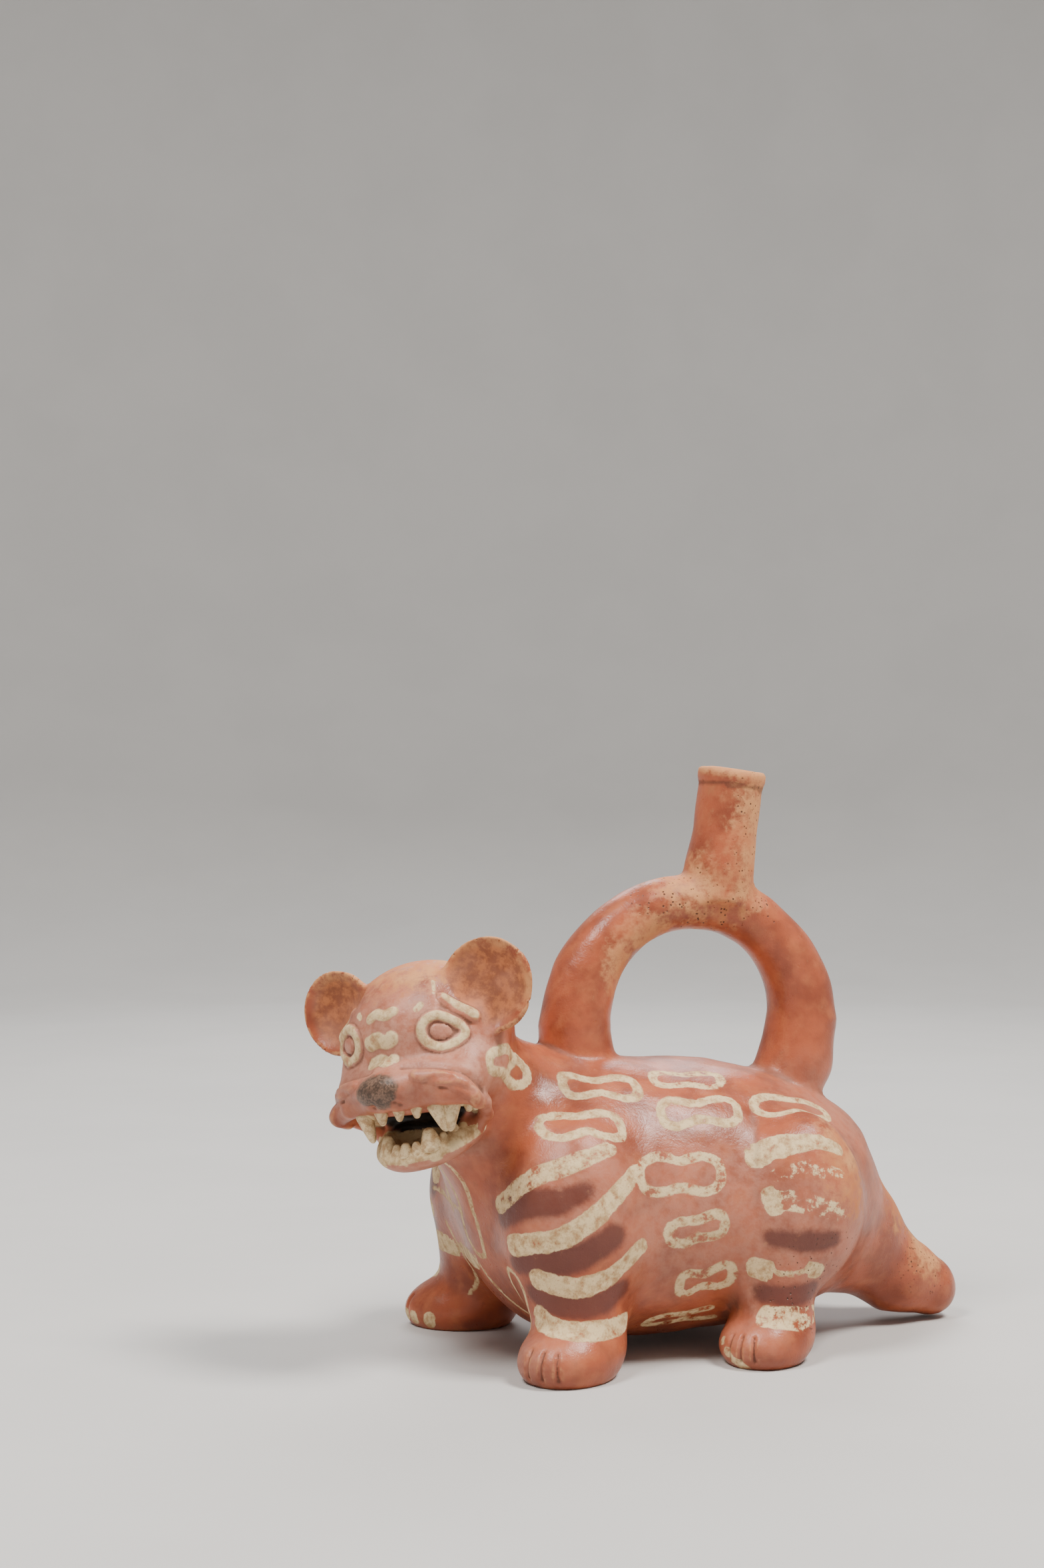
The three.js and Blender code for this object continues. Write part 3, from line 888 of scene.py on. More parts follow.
def toe_lines(sunk, leg):
    """Cuts between the toes, from the top of the paw to its edge."""
    middle, axes = paw_frame(leg)
    length, width, height = leg["paw"]

    def chart(across, down):
        tilt = np.radians(down)
        ahead = np.cos(tilt) * length * 1.6
        aside = across * (0.8 + 0.25 * np.cos(tilt))
        way = np.column_stack([ahead, aside, np.sin(tilt) * height * 2.2])
        root = np.column_stack([0 * across, across * 0.5, 0 * across])
        return middle + way @ axes.T, middle + root @ axes.T

    for n in range(1, TOES):
        across = (n / TOES - 0.5) * 2 * width * 0.75
        path = ((across, 24), (across * 1.1, 10), (across * 1.15, -4), (across * 1.15, -14))
        sunk.lay(chart, path, *TOE_CUT)


def painted_strokes():
    """Cream and dark slip laid on with a brush: both flanks, all four legs, the face and chest."""
    cream, dark = Strokes(), Strokes()
    for side, kept in ((1, 1.0), (-1, FAR_SIDE)):
        cream.lay(round_head(side), almond(), EYE_LINE, closed=True)
        cream.lay(round_head(side), CHEEK_RING, CHEEK_LINE, closed=True)
        cream.lay_each(round_head(side), HEAD_PAINTED)
        for n, (x, angle, length, height, slant, whole) in enumerate(FLANK_RINGS):
            along, up = pinched_ring(length, height, slant * MM_PER_DEGREE, n * 1.7)
            path = np.column_stack([x + along, angle + up / MM_PER_DEGREE])
            cream.lay(round_body(-side), path, FLANK_LINE, whole * kept, closed=True)
    cream.lay_each(round_head(1), [(*bar, UNWORN) for bar in BRIDGE_BARS])
    for leg, (bands, darks) in zip(LEGS, LEG_PAINT):
        cream.lay_each(round_leg(leg), bands)
        dark.lay_each(round_leg(leg), darks)
    for y, z, width, height, whole in CHEST_RINGS:
        along, up = pinched_ring(height, width, 0, y)
        cream.lay(on_chest, np.column_stack([y - up, z + along]), CHEST_LINE, whole, closed=True)
    cream.lay_each(on_chest, CHEST_LINES)
    cream.lay_each(round_leg(LEGS[1]), FAR_LEG_PATCHES)
    cream.lay_each(on_chest, [(((y, 4.5), (y + 0.3, 3)), width, UNWORN) for y, width in FAR_CLAWS])
    return cream, dark


def risen(value, low, high):
    """0 up to low, 1 from high on, and even between; high may be the lower of the two."""
    return np.clip((value - low) / (high - low), 0, 1)


def soft_patch(points, *eggs):
    """1 well inside any of the eggs, falling to 0 outside them."""
    depths = [egg(centre, radii)(points) / min(radii) for centre, radii in eggs]
    return risen(np.min(depths, axis=0), 0.5, -0.5)


def ear_bowl(points, at, radius, outward):
    """1 in the bowl of an ear, falling to 0 at its rim and behind it."""
    local = points - at
    out = np.hypot(local[:, 1], local[:, 2])
    return risen(out, radius - 1.7, radius - 5.2) * (local[:, 0] > -1.5) * (local[:, 0] < 8)


GUM_EDGE = (1.3, 0.3)  # distances outside the gums between which their slip gives out
LIP_EDGE = (-40.6, -38.8)  # heights between which the lower lip's slip comes in
LIP_TOP = -35.5
MOUTH_EDGE = (1.1, 0.3)  # distances outside the mouth between which it darkens
# Within this distance of the spout's axis, the bore is painted very dark as shade, from a little below
# the rim down.
BORE_SHADE_REACH = 8.6  # millimetres from the spout's axis


def slip_in_mouth(head):
    """Where the gums and the lower lip carry cream slip, and the painted shade inside the mouth, darker
    deeper in and towards its back.
    """
    out, across, up = head.T
    gum = risen(gums()(head), *GUM_EDGE) * (out > 2) * (up < -21.5)
    behind_teeth = np.maximum(risen(np.abs(across - 1.5), 9.5, 12.5), 0.1)
    gum *= np.where(up > -29, behind_teeth, 1)
    level = up - JAW_RISE * (JAW_PIVOT - out)
    lip = risen(level, *LIP_EDGE) * (level < LIP_TOP) * (np.abs(across) < 19)
    cream = np.maximum(gum, lip * (out > 3) * (out < 30))
    inside = np.minimum(tipped(egg(*MOUTH))(head), tipped(egg(*MOUTH_FLOOR))(head))
    # The painted shade inside the mouth: darker deeper in and towards its back, and none where there is
    # cream.
    return cream, risen(inside, *MOUTH_EDGE) * (1 - cream) * risen(out, 22, 17)


def measures(lump, vertices):
    """What the finish of each place depends on."""
    cream, dark = painted_strokes()
    painted, _, whole = cream.nearest(lump, vertices)
    head = to_head(vertices)
    gum, mouth_shade = slip_in_mouth(head)
    spout_out, spout_height = spout_frame(vertices)
    on_spout = risen(spout_height, 2, 10) * (spout_out < 16)
    worn_side = risen(vertices[:, 0] - SPOUT_BASE[0] - math.sin(SPOUT_LEAN) * spout_height, -7, 5)
    rim = risen(spout_height - SPOUT_LENGTH, -5, -1)
    clay_patches = np.maximum(soft_patch(head, *HEAD_BARE), soft_patch(vertices, *BODY_BARE))
    return {
        "cream": painted,
        "whole": whole,
        "dark_slip": dark.nearest(lump, vertices)[0],
        "film": np.maximum(soft_patch(head, *FACE_FILM), FAINTER * soft_patch(vertices, *BODY_FILM)),
        "bare": np.maximum(0.8 * clay_patches, on_spout * np.maximum(0.2 + 0.6 * worn_side, rim)),
        "pitted": np.maximum(on_spout * worn_side, soft_patch(vertices, *PITTED)),
        # bowl: how far into an ear's bowl; it brings in the bowl's own brown and its painted shade.
        "bowl": np.max([ear_bowl(head, **sizes) for sizes in EARS], axis=0),
        "nose": soft_patch(head, NOSE_PAD),
        # mouth: painted shade inside the mouth.
        "bone": gum,
        "mouth": mouth_shade,
        # Painted shade down the spout's bore, starting a few millimetres below the rim.
        "bore_shade": (spout_out < BORE_SHADE_REACH) * risen(spout_height - SPOUT_LENGTH, 0, -6) * (spout_height > -2),
    }


# ---- settings


def setting(kind, name, description, default, low, high, **more):
    return kind(name=name, description=description, default=default, min=low, max=high, **more)


def length(name, description, default, low, high):
    return setting(
        FloatProperty, name, description, default, low, high, unit="LENGTH", subtype="DISTANCE"
    )


class ClaySizes(bpy.types.PropertyGroup):
    bore_width: length("Bore width", "Width of the hole down the spout", 0.0148, 0.004, 0.02)
    body_grain: length("Body mesh", "Spacing of the mesh over the body", 0.00175, 0.0008, 0.01)
    head_grain: length("Head mesh", "Spacing of the mesh over the head", 0.0012, 0.0005, 0.01)
    tooth_sides: setting(IntProperty, "Tooth sides", "Sides of each tooth before smoothing", 8, 3, 32)
    tooth_tip: setting(
        FloatProperty, "Tooth tip", "Width of a tooth's tip as a share of its root", 0.3, 0, 1
    )


class StageSettings(bpy.types.PropertyGroup):
    floor_colour: setting(
        FloatVectorProperty, "Floor", "Colour of the floor", (0.56, 0.55, 0.54), 0, 1, subtype="COLOR"
    )
    key_power: setting(FloatProperty, "Key light", "Power of the main light, watts", 33, 0, 1000)
    lens: setting(FloatProperty, "Lens", "Focal length on a 36 mm wide frame, millimetres", 54, 10, 300)


# ---- operators


GRID = (  # from, to, and where the head lies between them, along X, Y and Z
    (-138, 105, (-138, -76)),
    (-63, 62, (-63, 26)),
    (-3, 202, (64, 148)),
)


class VESSEL_OT_clay(bpy.types.Operator):
    """Model the fired clay in one piece, in place of the plain solid"""

    bl_idname = "vessel.clay"
    bl_label = "Clay Body"

    def execute(self, context):
        sizes = context.scene.vessel_clay
        coarse, fine = sizes.body_grain / MM, sizes.head_grain / MM
        lines = [grid_lines(low, high, coarse, fine, *head) for low, high, head in GRID]
        lump = clay(sizes)
        vertices, quads = skin(lump, lines)
        vertices = drawn_onto(lump, vertices, fine)
        vertices = drawn_onto(lump, evened(vertices, quads), fine)
        vertices, quads, rings = split(vertices, quads, finely_worked(vertices, quads))
        vertices = drawn_onto(lump, vertices, fine)
        finish = measures(lump, vertices)
        vertices, normals = worked(lump, vertices, *modelled_strokes())
        # The hollow measure darkens creases, and the groove under the lip, as grime and painted shade.
        in_groove = np.abs(spout_frame(vertices)[1] - UNDER_LIP) < GROOVE_WIDTH / 2
        finish["hollow"] = hollowness(vertices, normals, quads) + GROOVE_DIRT_AND_SHADE * in_groove
        piece = closed_mesh("fired_clay", vertices, quads, rings, finish)
        piece.data.materials.append(slipped_clay())
        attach(piece, "root")
        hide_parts("vessel")
        return {"FINISHED"}


class VESSEL_OT_teeth(bpy.types.Operator):
    """Set the teeth in both jaws"""

    bl_idname = "vessel.teeth"
    bl_label = "Teeth"

    def execute(self, context):
        sizes = context.scene.vessel_clay
        values = {"Sides": sizes.tooth_sides, "Tip Width": sizes.tooth_tip, "Slip": tooth_slip()}
        piece = grown("teeth", tooth_seats(), tooth_tree(), values)
        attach(piece, "root")
        return {"FINISHED"}


class VESSEL_OT_stage(bpy.types.Operator):
    """Set the floor, the soft lights and the camera"""

    bl_idname = "vessel.stage"
    bl_label = "Stage"

    def execute(self, context):
        settings = context.scene.vessel_stage
        floor_under(settings)
        studio_lights(settings)
        camera_before(settings)
        return {"FINISHED"}


class VESSEL_PT_panel(bpy.types.Panel):
    bl_label = "Stirrup Spout Vessel"
    bl_idname = "VESSEL_PT_panel"
    bl_space_type = "VIEW_3D"
    bl_region_type = "UI"
    bl_category = "Vessel"

    def draw(self, context):
        for operator in OPERATORS:
            self.layout.operator(operator.bl_idname)
        for settings in (context.scene.vessel_clay, context.scene.vessel_stage):
            for label in settings.__annotations__:
                self.layout.prop(settings, label)


# ---- teeth

JAW_MIDDLE = (8, 0)
JAW_RADII = (15.2, 14.0)
GUM_HEIGHT = -39.0
LOWER_TEETH = (  # degrees round the jaw from its front, length, root radius
    (-64, 5, 3),
    (-38, 7.6, 4.6),
    (-17, 5, 3.5),
    (-1, 5.4, 3.9),
    (15, 5.2, 3.5),
    (34, 8.4, 5.4),
    (51, 5.4, 3.6),
    (68, 6.6, 4),
    (91, 6.6, 4),
)
UPPER_TEETH = (  # root, tip, root radius
    ((23.2, 13, -21.8), (23, 15.8, -32.6), 4.2),
    ((20.8, 18, -21.8), (22.6, 16.6, -32.8), 4.2),
    ((23, -14.5, -21.8), (24.8, -11, -33), 3.9),
    ((25.7, 7.6, -22.2), (26.1, 7.4, -27), 2.9),
    ((26.3, 1.3, -22.2), (26.7, 1.2, -27.2), 2.9),
    ((26.1, -5.6, -22.2), (26.5, -5.4, -27.8), 3.2),
    ((14.5, 20.6, -23), (15, 20, -27.8), 3),
    ((10, 20.6, -24.2), (10.5, 20, -27.8), 2.6),
    ((18, -18.5, -22.8), (18.5, -18, -27.2), 2.7),
)


def tooth_seats():
    """A point for each tooth, with the way it points, its length and its root's radius."""
    roots, tips, radii = map(list, zip(*UPPER_TEETH))
    for degrees, length, radius in LOWER_TEETH:
        turn = math.radians(degrees)
        x = JAW_MIDDLE[0] + JAW_RADII[0] * math.cos(turn)
        y = JAW_MIDDLE[1] + JAW_RADII[1] * math.sin(turn)
        z = GUM_HEIGHT + JAW_RISE * (JAW_PIVOT - x)
        roots.append((x, y, z))
        tips.append((x + 0.06 * length, y * 0.97, z + length))
        radii.append(radius)
    roots, tips = from_head(roots), from_head(tips)
    mesh = bpy.data.meshes.new("teeth")
    mesh.from_pydata(((roots + TO_FRAME) * MM).tolist(), [], [])
    ways = (tips - roots) * MM
    for label, kind, key, values in (
        ("points_to", "FLOAT_VECTOR", "vector", ways.ravel()),
        ("length", "FLOAT", "value", np.linalg.norm(ways, axis=1)),
        ("root_radius", "FLOAT", "value", np.array(radii) * MM),
    ):
        mesh.attributes.new(label, kind, "POINT").data.foreach_set(key, values.astype(np.float32))
    return mesh


def tooth_tree():
    """Geometry nodes that set a rounded cone on each point."""
    tree = bpy.data.node_groups.new("teeth_on_gums", "GeometryNodeTree")
    sockets = {"Seats": "Geometry", "Sides": "Int", "Tip Width": "Float", "Slip": "Material"}
    for label, kind in sockets.items():
        tree.interface.new_socket(label, in_out="INPUT", socket_type="NodeSocket" + kind)
    tree.interface.new_socket("Teeth", in_out="OUTPUT", socket_type="NodeSocketGeometry")
    make = Wiring(tree)
    given = tree.nodes.new("NodeGroupInput").outputs
    cone = {
        "Vertices": given["Sides"],
        "Side Segments": 3,
        "Radius Top": given["Tip Width"],
        "Radius Bottom": 1.0,
        "Depth": 1.0,
    }
    tooth = make.add("GeometryNodeMeshCone", cone)
    tooth = make.add("GeometryNodeSubdivisionSurface", {"Mesh": tooth, "Level": 2})
    tooth = make.add("GeometryNodeSetShadeSmooth", {"Geometry": tooth})
    way = named(make, "points_to", "FLOAT_VECTOR")
    turn = make.add("FunctionNodeAlignRotationToVector", {"Vector": way}, axis="Z")
    radius, length = named(make, "root_radius", "FLOAT"), named(make, "length", "FLOAT")
    size = make.add("ShaderNodeCombineXYZ", {"X": radius, "Y": radius, "Z": length})
    points = make.add("GeometryNodeMeshToPoints", {"Mesh": given["Seats"]})
    placing = {"Points": points, "Instance": tooth, "Rotation": turn, "Scale": size}
    teeth = make.add("GeometryNodeInstanceOnPoints", placing)
    teeth = make.add("GeometryNodeRealizeInstances", {"Geometry": teeth})
    teeth = make.add("GeometryNodeSetMaterial", {"Geometry": teeth, "Material": given["Slip"]})
    make.plug(tree.nodes.new("NodeGroupOutput").inputs["Teeth"], teeth)
    return tree


def named(make, label, kind):
    return make.add("GeometryNodeInputNamedAttribute", {"Name": label}, data_type=kind)


def grown(name, mesh, tree, values):
    """The plain mesh that a geometry tree makes from a mesh, with its inputs set by name."""
    seed = added(name + "_seats", mesh)
    modifier = seed.modifiers.new(tree.name, "NODES")
    modifier.node_group = tree
    for item in tree.interface.items_tree:
        if item.name in values:
            modifier[item.identifier] = values[item.name]
    shaped = seed.evaluated_get(bpy.context.evaluated_depsgraph_get())
    result = bpy.data.meshes.new_from_object(shaped)
    seed.modifiers.clear()
    bpy.data.objects.remove(seed)
    return added(name, result)


# ---- materials


class Wiring:
    """Adds nodes to a tree. An input given a socket is linked to it, and any other is set."""

    def __init__(self, tree):
        self.tree = tree

    def add(self, kind, inputs=None, out=0, **settings):
        node = self.tree.nodes.new(kind)
        for name, value in settings.items():
            setattr(node, name, value)
        for name, value in (inputs or {}).items():
            self.plug(node.inputs[name], value)
        return node.outputs[out] if out is not None else node.outputs

    def plug(self, socket, value):
        if isinstance(value, bpy.types.NodeSocket):
            self.tree.links.new(value, socket)
        elif isinstance(value, tuple) and socket.type == "RGBA":
            socket.default_value = (*value, 1)
        else:
            socket.default_value = value

    def maths(self, operation, *values):
        return self.add("ShaderNodeMath", dict(enumerate(values)), operation=operation)

    def times(self, first, second):
        return self.maths("MULTIPLY", first, second)

    def most(self, first, *rest):
        for other in rest:
            first = self.maths("MAXIMUM", first, other)
        return first

    def mixed(self, amount, value, added):
        """The value times the amount, with something added."""
        return self.maths("MULTIPLY_ADD", value, amount, added)

    def blend(self, share, below, above):
        inputs = {0: share, 6: below, 7: above}
        return self.add("ShaderNodeMix", inputs, out=2, data_type="RGBA")

    def between(self, share, low, high):
        return self.add("ShaderNodeMix", {0: share, 2: low, 3: high})

    def remap(self, value, low, high, to_low=0.0, to_high=1.0):
        """The value taken smoothly from between low and high to between to_low and to_high."""
        inputs = {"Value": value, 1: low, 2: high, 3: to_low, 4: to_high}
        return self.add("ShaderNodeMapRange", inputs, interpolation_type="SMOOTHSTEP")

    def noise(self, place, size, detail=2.0, roughness=0.5):
        """Cloudy noise whose blots are about size across."""
        inputs = {"Vector": place, "Scale": 1 / size, "Detail": detail, "Roughness": roughness}
        return self.add("ShaderNodeTexNoise", inputs)

    def measure(self, name):
        return self.add("ShaderNodeAttribute", out="Fac", attribute_name=name)

    def group(self, tree, inputs):
        return self.add("ShaderNodeGroup", inputs, out=None, node_tree=tree)


def shader_group(name, inputs, outputs):
    """A new group of shader nodes, its wiring, what it is given and what it puts out."""
    tree = bpy.data.node_groups.new(name, "ShaderNodeTree")
    for label, kind in inputs.items():
        tree.interface.new_socket(label, in_out="INPUT", socket_type="NodeSocket" + kind)
    for label in outputs:
        tree.interface.new_socket(label, in_out="OUTPUT", socket_type="NodeSocketFloat")
    given = tree.nodes.new("NodeGroupInput").outputs
    result = tree.nodes.new("NodeGroupOutput").inputs
    return tree, Wiring(tree), given, result


def grain_group():
    """Clouds, mottling, flecks, pits and fine grit, all sized against one number of metres."""
    inputs = {"Place": "Vector", "Size": "Float"}
    outputs = ("Clouds", "Mottle", "Flecks", "Pits", "Grit")
    tree, make, given, result = shader_group("clay_grain", inputs, outputs)
    scale = make.maths("DIVIDE", 1.0, given["Size"])
    place = make.add("ShaderNodeVectorMath", {0: given["Place"], "Scale": scale}, operation="SCALE")
    mottle = make.noise(place, 3.4, 4.0, 0.66)
    grit = make.noise(place, 0.7, 2.0, 0.6)
    cells = make.add("ShaderNodeTexVoronoi", {"Vector": place, "Scale": 0.62}, out="Distance")
    pits = make.remap(make.maths("ADD", cells, make.times(grit, 0.3)), 0.42, 0.26)
    make.plug(result["Clouds"], make.remap(make.noise(place, 15.0, 3.0, 0.55), 0.36, 0.64))
    make.plug(result["Mottle"], mottle)
    make.plug(result["Flecks"], make.remap(grit, 0.6, 0.7))
    make.plug(result["Pits"], make.times(pits, make.remap(mottle, 0.44, 0.56)))
    make.plug(result["Grit"], grit)
    return tree


def worn_group():
    """Where a slip still lies: ragged at its edge, and rubbed through where it isn't whole."""
    inputs = {"Outside": "Float", "Whole": "Float", "Mottle": "Float", "Flecks": "Float"}
    tree, make, given, result = shader_group("worn_slip", inputs, ("Laid",))
    ragged = make.mixed(2.4, given["Mottle"], -1.2)
    laid = make.remap(make.maths("ADD", given["Outside"], ragged), 0.28, -0.22)
    lost = make.times(make.maths("SUBTRACT", 1.0, given["Whole"]), 0.34)
    held = make.remap(make.maths("SUBTRACT", given["Mottle"], lost), 0.25, 0.37)
    fleck = make.mixed(-0.55, given["Flecks"], 1.0)
    make.plug(result["Laid"], make.times(make.times(laid, held), fleck))
    return tree


def shared_groups():
    names = {"clay_grain": grain_group, "worn_slip": worn_group}
    return [bpy.data.node_groups.get(name) or build() for name, build in names.items()]


def new_material(name):
    material = bpy.data.materials.new(name)
    material.use_nodes = True
    make = Wiring(material.node_tree)
    place = make.add("ShaderNodeTexCoord", out="Object")
    return material, make, place, material.node_tree.nodes["Principled BSDF"].inputs


def slip_colour(make, place, grain):
    """Red slip, clouded in the firing and streaked by the burnishing stone."""
    colour = make.blend(grain["Clouds"], SLIP_DEEP, SLIP_RED)
    streaks = make.add("ShaderNodeMapping", {"Vector": place, "Scale": (120, 210, 130)})
    streaked = make.remap(make.noise(streaks, 1.0, 3.0, 0.6), 0.42, 0.72, 0.0, 0.36)
    colour = make.blend(streaked, colour, SLIP_ORANGE)
    return make.blend(make.remap(grain["Mottle"], 0.56, 0.72, 0.0, 0.5), colour, SLIP_DEEP)


def patchy(make, name, grain, low, high, raggedness):
    """A patch's measure, broken up by the clay's mottling."""
    ragged = make.mixed(raggedness, grain["Mottle"], -raggedness / 2)
    return make.remap(make.maths("ADD", make.measure(name), ragged), low, high)


def clay_marks(make, grain, worn_tree):
    """Shares of each kind of paint and wear, and of painted shade: in creases with their grime, deep in
    the mouth and down the spout's bore.
    """
    mottle = grain["Mottle"]
    paint = {"Outside": make.measure("cream"), "Whole": make.measure("whole")}
    painted = make.group(worn_tree, {**paint, "Mottle": mottle, "Flecks": grain["Flecks"]})["Laid"]
    dark = make.remap(make.mixed(2.4, mottle, make.measure("dark_slip")), 2.9, -0.4)
    hollow = make.measure("hollow")
    return {
        "cream": make.most(painted, patchy(make, "bone", grain, 0.3, 0.55, 0.8)),
        "dark": make.times(dark, 0.86),
        "film": make.times(make.measure("film"), make.remap(mottle, 0.3, 0.66, 0.35, 0.9)),
        "bare": patchy(make, "bare", grain, 0.22, 0.92, 1.9),
        "bowl": make.measure("bowl"),
        "nose": patchy(make, "nose", grain, 0.14, 0.5, 0.9),
        # Painted shade with grime in creases: darker where a place lies below its surroundings, broken
        # up by the mottling.
        "crease_dirt_and_shade": make.times(make.remap(hollow, 0.03, 0.34), make.remap(mottle, 0.3, 0.5, 0.4, 0.8)),
        "rubbed": make.times(make.remap(hollow, -0.16, -0.42), make.remap(mottle, 0.36, 0.56)),
        "pits": make.times(grain["Pits"], make.remap(make.measure("pitted"), 0.1, 0.7)),
        # Painted shade, very dark, deep in the mouth and down the bore.
        "cavity_shade": make.most(make.measure("mouth"), make.measure("bore_shade")),
    }


def clay_colour(make, place, grain, marks):
    """The slip's colour, with each kind of paint and wear, and the painted shade, laid over what came
    before it.
    """
    clouds, mottle = grain["Clouds"], grain["Mottle"]
    in_bowl = make.blend(make.remap(mottle, 0.38, 0.64), BOWL_BROWN, CLAY_ORANGE)
    speckle = make.mixed(0.5, grain["Grit"], make.times(mottle, 0.5))
    layers = (
        (marks["film"], HAZE),
        (marks["dark"], MAROON),
        (marks["bare"], make.blend(clouds, CLAY_TAN, CLAY_ORANGE)),
        # The ears' bowls: their own brown and orange, filling in towards each middle as painted shade of
        # the hollow.
        (
            make.remap(marks["bowl"], 0.0, 0.7, 0.0, 0.92),
            make.blend(make.times(clouds, 0.35), in_bowl, HAZE),
        ),
        (make.times(marks["rubbed"], 0.8), CLAY_TAN),
        (marks["nose"], make.blend(make.remap(speckle, 0.4, 0.62), NOSE_DARK, NOSE_PALE)),
        (marks["cream"], make.blend(make.remap(mottle, 0.34, 0.6), CREAM_SHADE, CREAM)),
        # Painted shade and grime in the creases.
        (make.times(marks["crease_dirt_and_shade"], 0.8), DIRT_AND_SHADE),
        (marks["pits"], DIRT_AND_SHADE),
        # Painted shade deep in the mouth and the bore.
        (marks["cavity_shade"], DEEP_SHADE),
    )
    colour = slip_colour(make, place, grain)
    for share, laid in layers:
        colour = make.blend(share, colour, laid)
    return colour


def slipped_clay():
    """Burnished slip with its paint, haze, bare patches, pits and grime, and painted shade in its
    creases, mouth and bore.
    """
    material, make, place, shader = new_material("slipped_clay")
    grain_tree, worn_tree = shared_groups()
    grain = make.group(grain_tree, {"Place": place, "Size": MM})
    marks = clay_marks(make, grain, worn_tree)
    make.plug(shader["Base Color"], clay_colour(make, place, grain, marks))
    shader["Specular IOR Level"].default_value = SHINE
    matt = make.most(*[marks[name] for name in ("cream", "bare", "bowl", "crease_dirt_and_shade")])
    rough = make.between(matt, make.between(marks["film"], BURNISHED, HAZED), MATT)
    rough = make.mixed(0.22, grain["Mottle"], make.maths("SUBTRACT", rough, 0.1))
    make.plug(shader["Roughness"], rough)
    height = make.mixed(0.08, grain["Grit"], make.times(grain["Mottle"], 0.22))
    height = make.mixed(-0.3, marks["pits"], height)
    bump = make.add("ShaderNodeBump", {"Height": height, "Distance": MM, "Strength": 0.8})
    make.plug(shader["Normal"], bump)
    return material


def tooth_slip():
    """Cream slip on the teeth, browned in flecks where grime has settled."""
    material, make, place, shader = new_material("tooth_slip")
    grain_tree, _ = shared_groups()
    grain = make.group(grain_tree, {"Place": place, "Size": 0.6 * MM})
    colour = make.blend(make.remap(grain["Mottle"], 0.36, 0.6), CREAM_SHADE, CREAM)
    colour = make.blend(make.times(grain["Flecks"], 0.5), colour, DIRT_AND_SHADE)
    make.plug(shader["Base Color"], colour)
    make.plug(shader["Roughness"], make.remap(grain["Mottle"], 0.3, 0.7, 0.45, 0.75))
    bump = make.add("ShaderNodeBump", {"Height": grain["Mottle"], "Distance": 0.3 * MM, "Strength": 0.7})
    make.plug(shader["Normal"], bump)
    return material


def floor_paper(settings):
    """Matt pale paper with the faintest cloudiness."""
    material, make, place, shader = new_material("floor_paper")
    grain_tree, _ = shared_groups()
    grain = make.group(grain_tree, {"Place": place, "Size": 8 * MM})
    pale = tuple(settings.floor_colour)
    shaded = tuple(0.97 * part for part in pale)
    make.plug(shader["Base Color"], make.blend(grain["Clouds"], shaded, pale))
    make.plug(shader["Roughness"], make.remap(grain["Mottle"], 0.3, 0.7, 0.82, 0.95))
    return material


# ---- stage

CAMERA_PLACE = Vector((-0.2999, -0.7585, 0.192))
CAMERA_TURN = math.radians(-18.5)

FLOOR_RADIUS = 1.3
SWEEP_RADIUS = 0.8
SWEEP_HEIGHT = 1.7
SIDES = 72
SWEEP_STEPS = 12

AIM = Vector((0, 0, 0.08))
LIGHTS = (  # name, place, size, share of the key's power, colour
    ("right", (0.55, -0.52, 1.4), 0.42, 1.0, (1.0, 0.96, 0.9)),
    ("left", (-0.72, -0.36, 1.3), 0.42, 0.6, (1.0, 0.97, 0.93)),
    ("back", (0.3, 1.0, 1.0), 0.8, 0.35, (1.0, 1.0, 1.0)),
)
ROOM_COLOUR = (0.55, 0.56, 0.58, 1)
ROOM_STRENGTH = 0.36


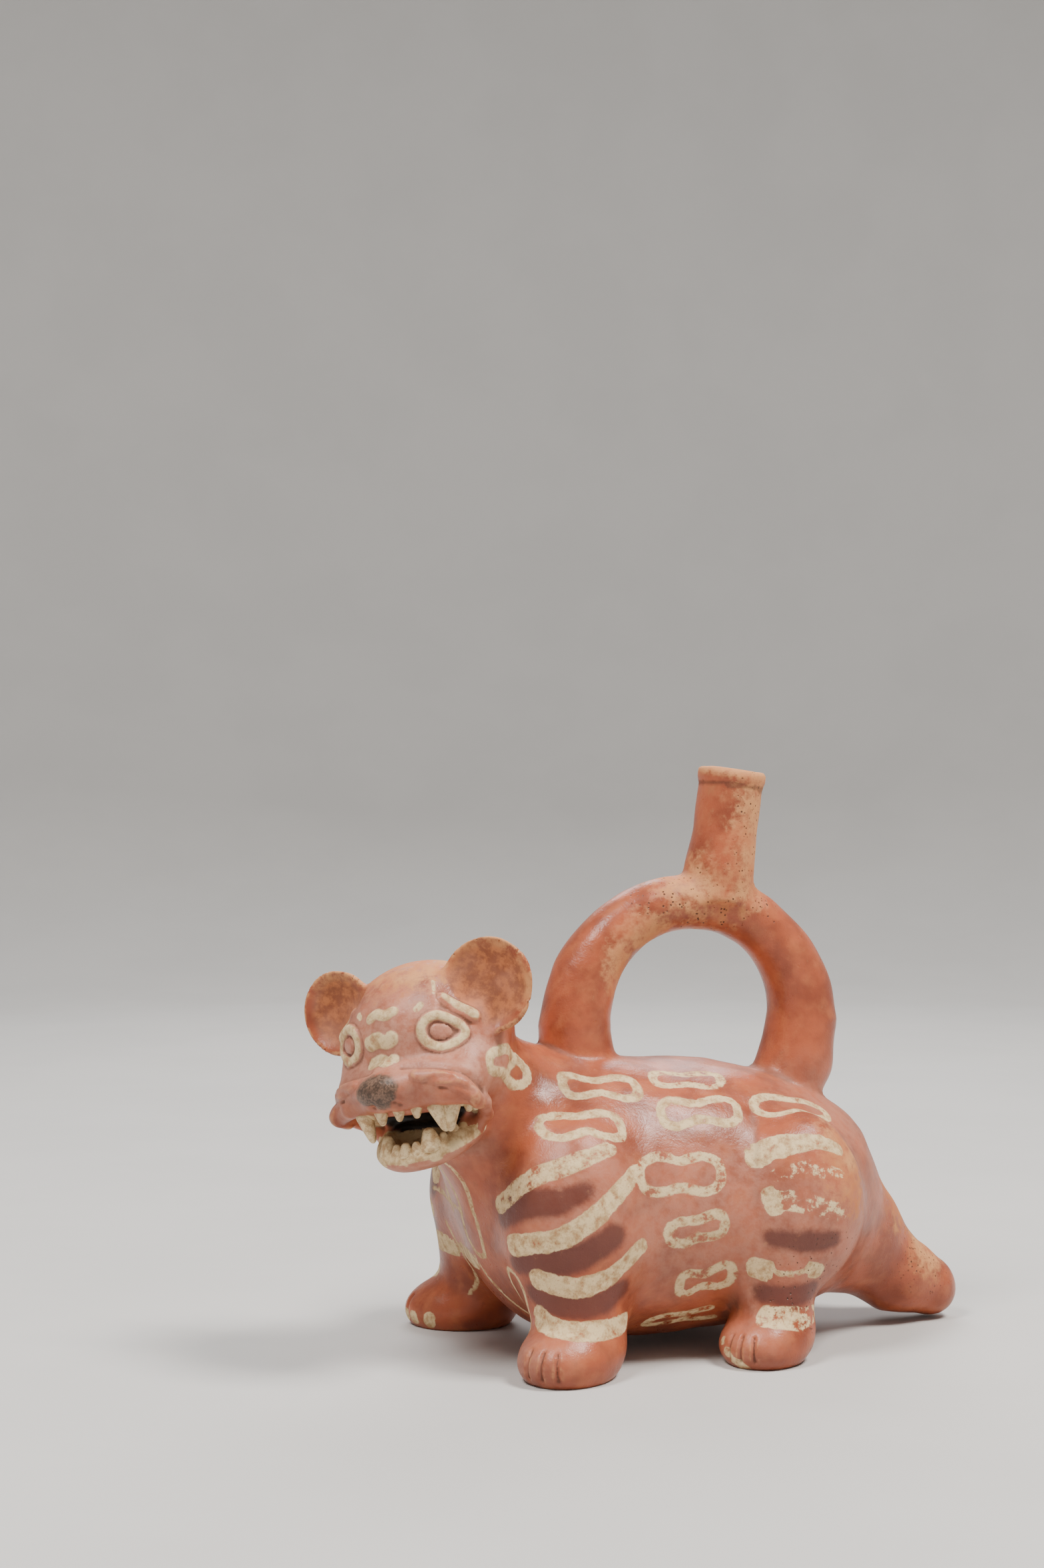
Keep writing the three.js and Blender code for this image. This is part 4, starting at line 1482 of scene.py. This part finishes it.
def floor_under(settings):
    """A round pale floor that sweeps up into a wall all round."""
    profile = [(radius, 0.0) for radius in (0.02, 0.4, 0.8)]
    for step in range(SWEEP_STEPS + 1):
        turn = math.radians(90 * step / SWEEP_STEPS)
        profile.append(
            (FLOOR_RADIUS + SWEEP_RADIUS * math.sin(turn), SWEEP_RADIUS * (1 - math.cos(turn)))
        )
    profile.append((FLOOR_RADIUS + SWEEP_RADIUS, SWEEP_HEIGHT))
    turns = [2 * math.pi * k / SIDES for k in range(SIDES)]
    points = [(r * math.cos(turn), r * math.sin(turn), z) for r, z in profile for turn in turns]
    faces = [tuple(range(SIDES))]
    for low in range(0, (len(profile) - 1) * SIDES, SIDES):
        for k in range(SIDES):
            here, following = low + k, low + (k + 1) % SIDES
            faces.append((following, here, here + SIDES, following + SIDES))
    mesh = bpy.data.meshes.new("floor")
    mesh.from_pydata(points, [], faces)
    mesh.polygons.foreach_set("use_smooth", [True] * len(faces))
    mesh.materials.append(floor_paper(settings))
    added("floor", mesh)


def studio_lights(settings):
    for name, place, size, share, colour in LIGHTS:
        light = bpy.data.lights.new(name, "AREA")
        light.size = size
        light.energy = settings.key_power * share
        light.color = colour
        lamp = added(name, light)
        lamp.location = place
        lamp.rotation_euler = (AIM - Vector(place)).to_track_quat("-Z", "Y").to_euler()
    world = bpy.data.worlds.new("room")
    world.use_nodes = True
    background = world.node_tree.nodes["Background"].inputs
    background["Color"].default_value = ROOM_COLOUR
    background["Strength"].default_value = ROOM_STRENGTH
    bpy.context.scene.world = world


def camera_before(settings):
    camera = bpy.data.cameras.new("camera")
    camera.lens = settings.lens
    camera.sensor_width = 36
    view = added("camera", camera)
    view.location = CAMERA_PLACE
    view.rotation_euler = (math.pi / 2, 0, CAMERA_TURN)
    bpy.context.scene.camera = view


# ---- making it all

OPERATORS = (VESSEL_OT_clay, VESSEL_OT_teeth, VESSEL_OT_stage)
CLASSES = (ClaySizes, StageSettings, *OPERATORS, VESSEL_PT_panel)


def register():
    for each in CLASSES:
        bpy.utils.register_class(each)
    bpy.types.Scene.vessel_clay = PointerProperty(type=ClaySizes)
    bpy.types.Scene.vessel_stage = PointerProperty(type=StageSettings)


def unregister():
    del bpy.types.Scene.vessel_stage
    del bpy.types.Scene.vessel_clay
    for each in reversed(CLASSES):
        bpy.utils.unregister_class(each)


def main():
    register()
    bpy.ops.vessel.clay()
    bpy.ops.vessel.teeth()
    bpy.ops.vessel.stage()


if __name__ == "__main__":
    main()
